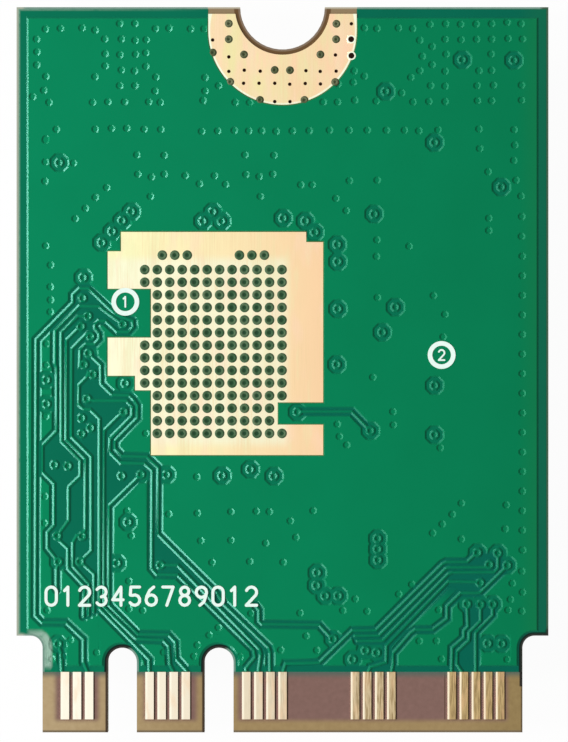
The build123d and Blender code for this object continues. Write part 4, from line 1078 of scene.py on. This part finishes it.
# Round forms of the half ring: centres, profile, radius, foot and height, then material and slot
SCREW_PAD_FORMS = {
    "screw_via_dots": (
        SCREW_CLOSED_VIAS + SCREW_BORDER_VIAS, SCREW_DOT_PROFILE, SCREW_DOT_RADIUS, GOLD_TOP, DOT_RISE,
        screw_dot_green, "green_mask",
    ),
    "via_barrels": (
        SCREW_OPEN_VIAS, BARREL_PROFILE, OPEN_VIA_RADIUS, LAMINATE_TOP, BARREL_RISE, barrel, "laminate",
    ),
    "wide_via_barrels": (
        WIDE_VIAS, BARREL_PROFILE, WIDE_VIA_RADIUS, MASK_TOP, 2 * BARREL_RISE, barrel, "laminate",
    ),
    "wide_via_lands": (
        WIDE_VIAS, LAND_PROFILE, WIDE_LAND_RADIUS, GOLD_TOP, LAND_RISE, land_gold, "gold_plating",
    ),
}
for name, (*form, material, slot_name) in SCREW_PAD_FORMS.items():
    dress(turned_forms(name, *form), material, slot_name)

dress(printed_rings(), ink, "white_ink", "test_point_rings")
legend_routes = placed_strokes(LEGEND_DIGITS, LEGEND_START, LEGEND_HEIGHT, LEGEND_PITCH)
dress(printed_strokes("legend", legend_routes, LEGEND_STROKE), ink, "white_ink")
dress(printed_strokes("ring_digits", ring_digit_routes(), RING_DIGIT_STROKE), ink, "white_ink")
paint_node("laminate_board", laminate, 0.08)
paint_node("back_ground_pad", pad_gold)
paint_node("back_edge_contacts", contact_gold, 0.012)
paint_node("front_edge_contacts", contact_gold, 0.012)
paint_node("front_screw_pad", screw_gold)

# Hidden side
steel = can_look()
paint_node("front_solder_mask", front_mask_look())
paint_node("shield_fence", steel)
paint_node("shield_cover", steel)

# Its plain surfaces: dark and light tone, roughness, metallic, sizes of grain and soft edge, then the nodes
RECEPTACLES = [f"{side}_antenna_" for side in ("left", "middle", "right")]
PLAIN_SURFACES = {
    "antenna_gold": (
        "d6b068", "f0d08e", 0.28, 1.0, 0.1, 0.0,
        [receptacle + part for receptacle in RECEPTACLES for part in ("shell", "pin")],
    ),
    "antenna_insulator": (
        "d6d0be", "ece6d6", 0.5, 0.0, 0.1, 0.0,
        [receptacle + "insulator" for receptacle in RECEPTACLES],
    ),
    "moulding_black": (
        "161619", "26262a", 0.6, 0.0, 0.08, 0.03,
        ["radio_chip_body", "left_front_end_module", "right_front_end_module", "flash_memory",
         "voltage_regulator"],
    ),
    "tin_plating": (
        "b0b0ac", "d6d6d2", 0.4, 1.0, 0.1, 0.0,
        ["radio_chip_leads", "crystal_lid", "capacitor_ends", "resistor_ends"],
    ),
    "thermal_silicone": ("80909e", "96a6b2", 0.75, 0.0, 0.3, 0.0, ["thermal_pad"]),
    "filter_ceramic": (
        "c4c2b8", "dcdad0", 0.5, 0.0, 0.1, 0.03,
        ["left_diplexer", "right_diplexer", "crystal_base"],
    ),
    "capacitor_ceramic": ("7c5c3e", "967452", 0.5, 0.0, 0.1, 0.0, ["capacitor_bodies"]),
    "resistor_ceramic": ("121216", "222226", 0.45, 0.0, 0.1, 0.0, ["resistor_bodies"]),
    "ferrite_moulding": (
        "3e3e40", "545456", 0.6, 0.0, 0.06, 0.04, ["core_inductor", "radio_inductor"],
    ),
}
for name, (*tones_and_grain, edge_mm, nodes) in PLAIN_SURFACES.items():
    surface = plain_look(name, *tones_and_grain)
    for node in nodes:
        paint_node(node, surface, edge_mm)

# Floor, light and camera
FLOOR_GREY = 0.94
FLOOR_GLOW = 0.96
WORLD_LIGHT = 0.32
KEY_STRENGTH = 1.75
KEY_ELEVATION = 25
KEY_AZIMUTHS = (135, 180, 225)
KEY_SOFTNESS = 12


def floor():
    """Pale plain ground under the card, lifted for the camera so that it reads as white."""
    bpy.ops.mesh.primitive_plane_add(size=1.0, location=(0, 0, 0))
    ground = bpy.context.object
    ground.name = "floor"
    look = Look("floor_white", roughness=0.9, specular=0.1)
    look.shader.inputs["Base Color"].default_value = (FLOOR_GREY, FLOOR_GREY, FLOOR_GREY, 1)
    glow = look.add("Emission", {"Strength": 1.0})[0]
    share = look.math("MULTIPLY", look.white_rays(), FLOOR_GLOW)
    blend = look.add("MixShader", {0: share, 1: look.shader.outputs[0], 2: glow})[0]
    look.feed(look.nodes["Material Output"].inputs[0], blend)
    ground.data.materials.append(look.material)


def world():
    """Even grey light from all round that the camera, metal and glass see as white."""
    scene_world = bpy.data.worlds.new("plain_world")
    scene_world.use_nodes = True
    tree = Nodes(scene_world.node_tree)
    background = tree.nodes["Background"].inputs
    background["Color"].default_value = (1, 1, 1, 1)
    tree.feed(background["Strength"], tree.between(tree.white_rays(), 0.0, 1.0, WORLD_LIGHT, 1.0))
    bpy.context.scene.world = scene_world


def key_lights():
    """Broad low light from the left that draws out the mask's relief, as three soft suns side by side."""
    for azimuth in KEY_AZIMUTHS:
        lamp = bpy.data.lights.new("key_light", "SUN")
        lamp.energy = KEY_STRENGTH
        lamp.angle = math.radians(KEY_SOFTNESS)
        key = bpy.data.objects.new("key_light", lamp)
        low, round_z = math.radians(KEY_ELEVATION), math.radians(azimuth)
        level = math.cos(low)
        towards = Vector((level * math.cos(round_z), level * math.sin(round_z), math.sin(low)))
        key.rotation_euler = towards.to_track_quat("Z", "Y").to_euler()
        bpy.context.scene.collection.objects.link(key)


def camera():
    """Long lens straight above the card, set so that the photograph's scale and place come out."""
    lens = bpy.data.cameras.new("photo_camera")
    lens.lens = LENS_MM
    lens.sensor_width = SENSOR_MM
    lens.clip_start = 0.01
    distance = PHOTO_HEIGHT / PHOTO_PIXELS_PER_MM * LENS_MM / SENSOR_MM
    right = (PHOTO_WIDTH / 2 - PHOTO_BOARD_MIDDLE[0]) / PHOTO_PIXELS_PER_MM
    down = (PHOTO_HEIGHT / 2 - PHOTO_BOARD_MIDDLE[1]) / PHOTO_PIXELS_PER_MM
    seen_from = bpy.data.objects.new("photo_camera", lens)
    seen_from.location = (right * MM, -down * MM, (MASK_TOP + distance) * MM)
    bpy.context.scene.collection.objects.link(seen_from)
    bpy.context.scene.camera = seen_from


floor()
world()
key_lights()
camera()
bpy.context.scene.view_settings.view_transform = "Standard"
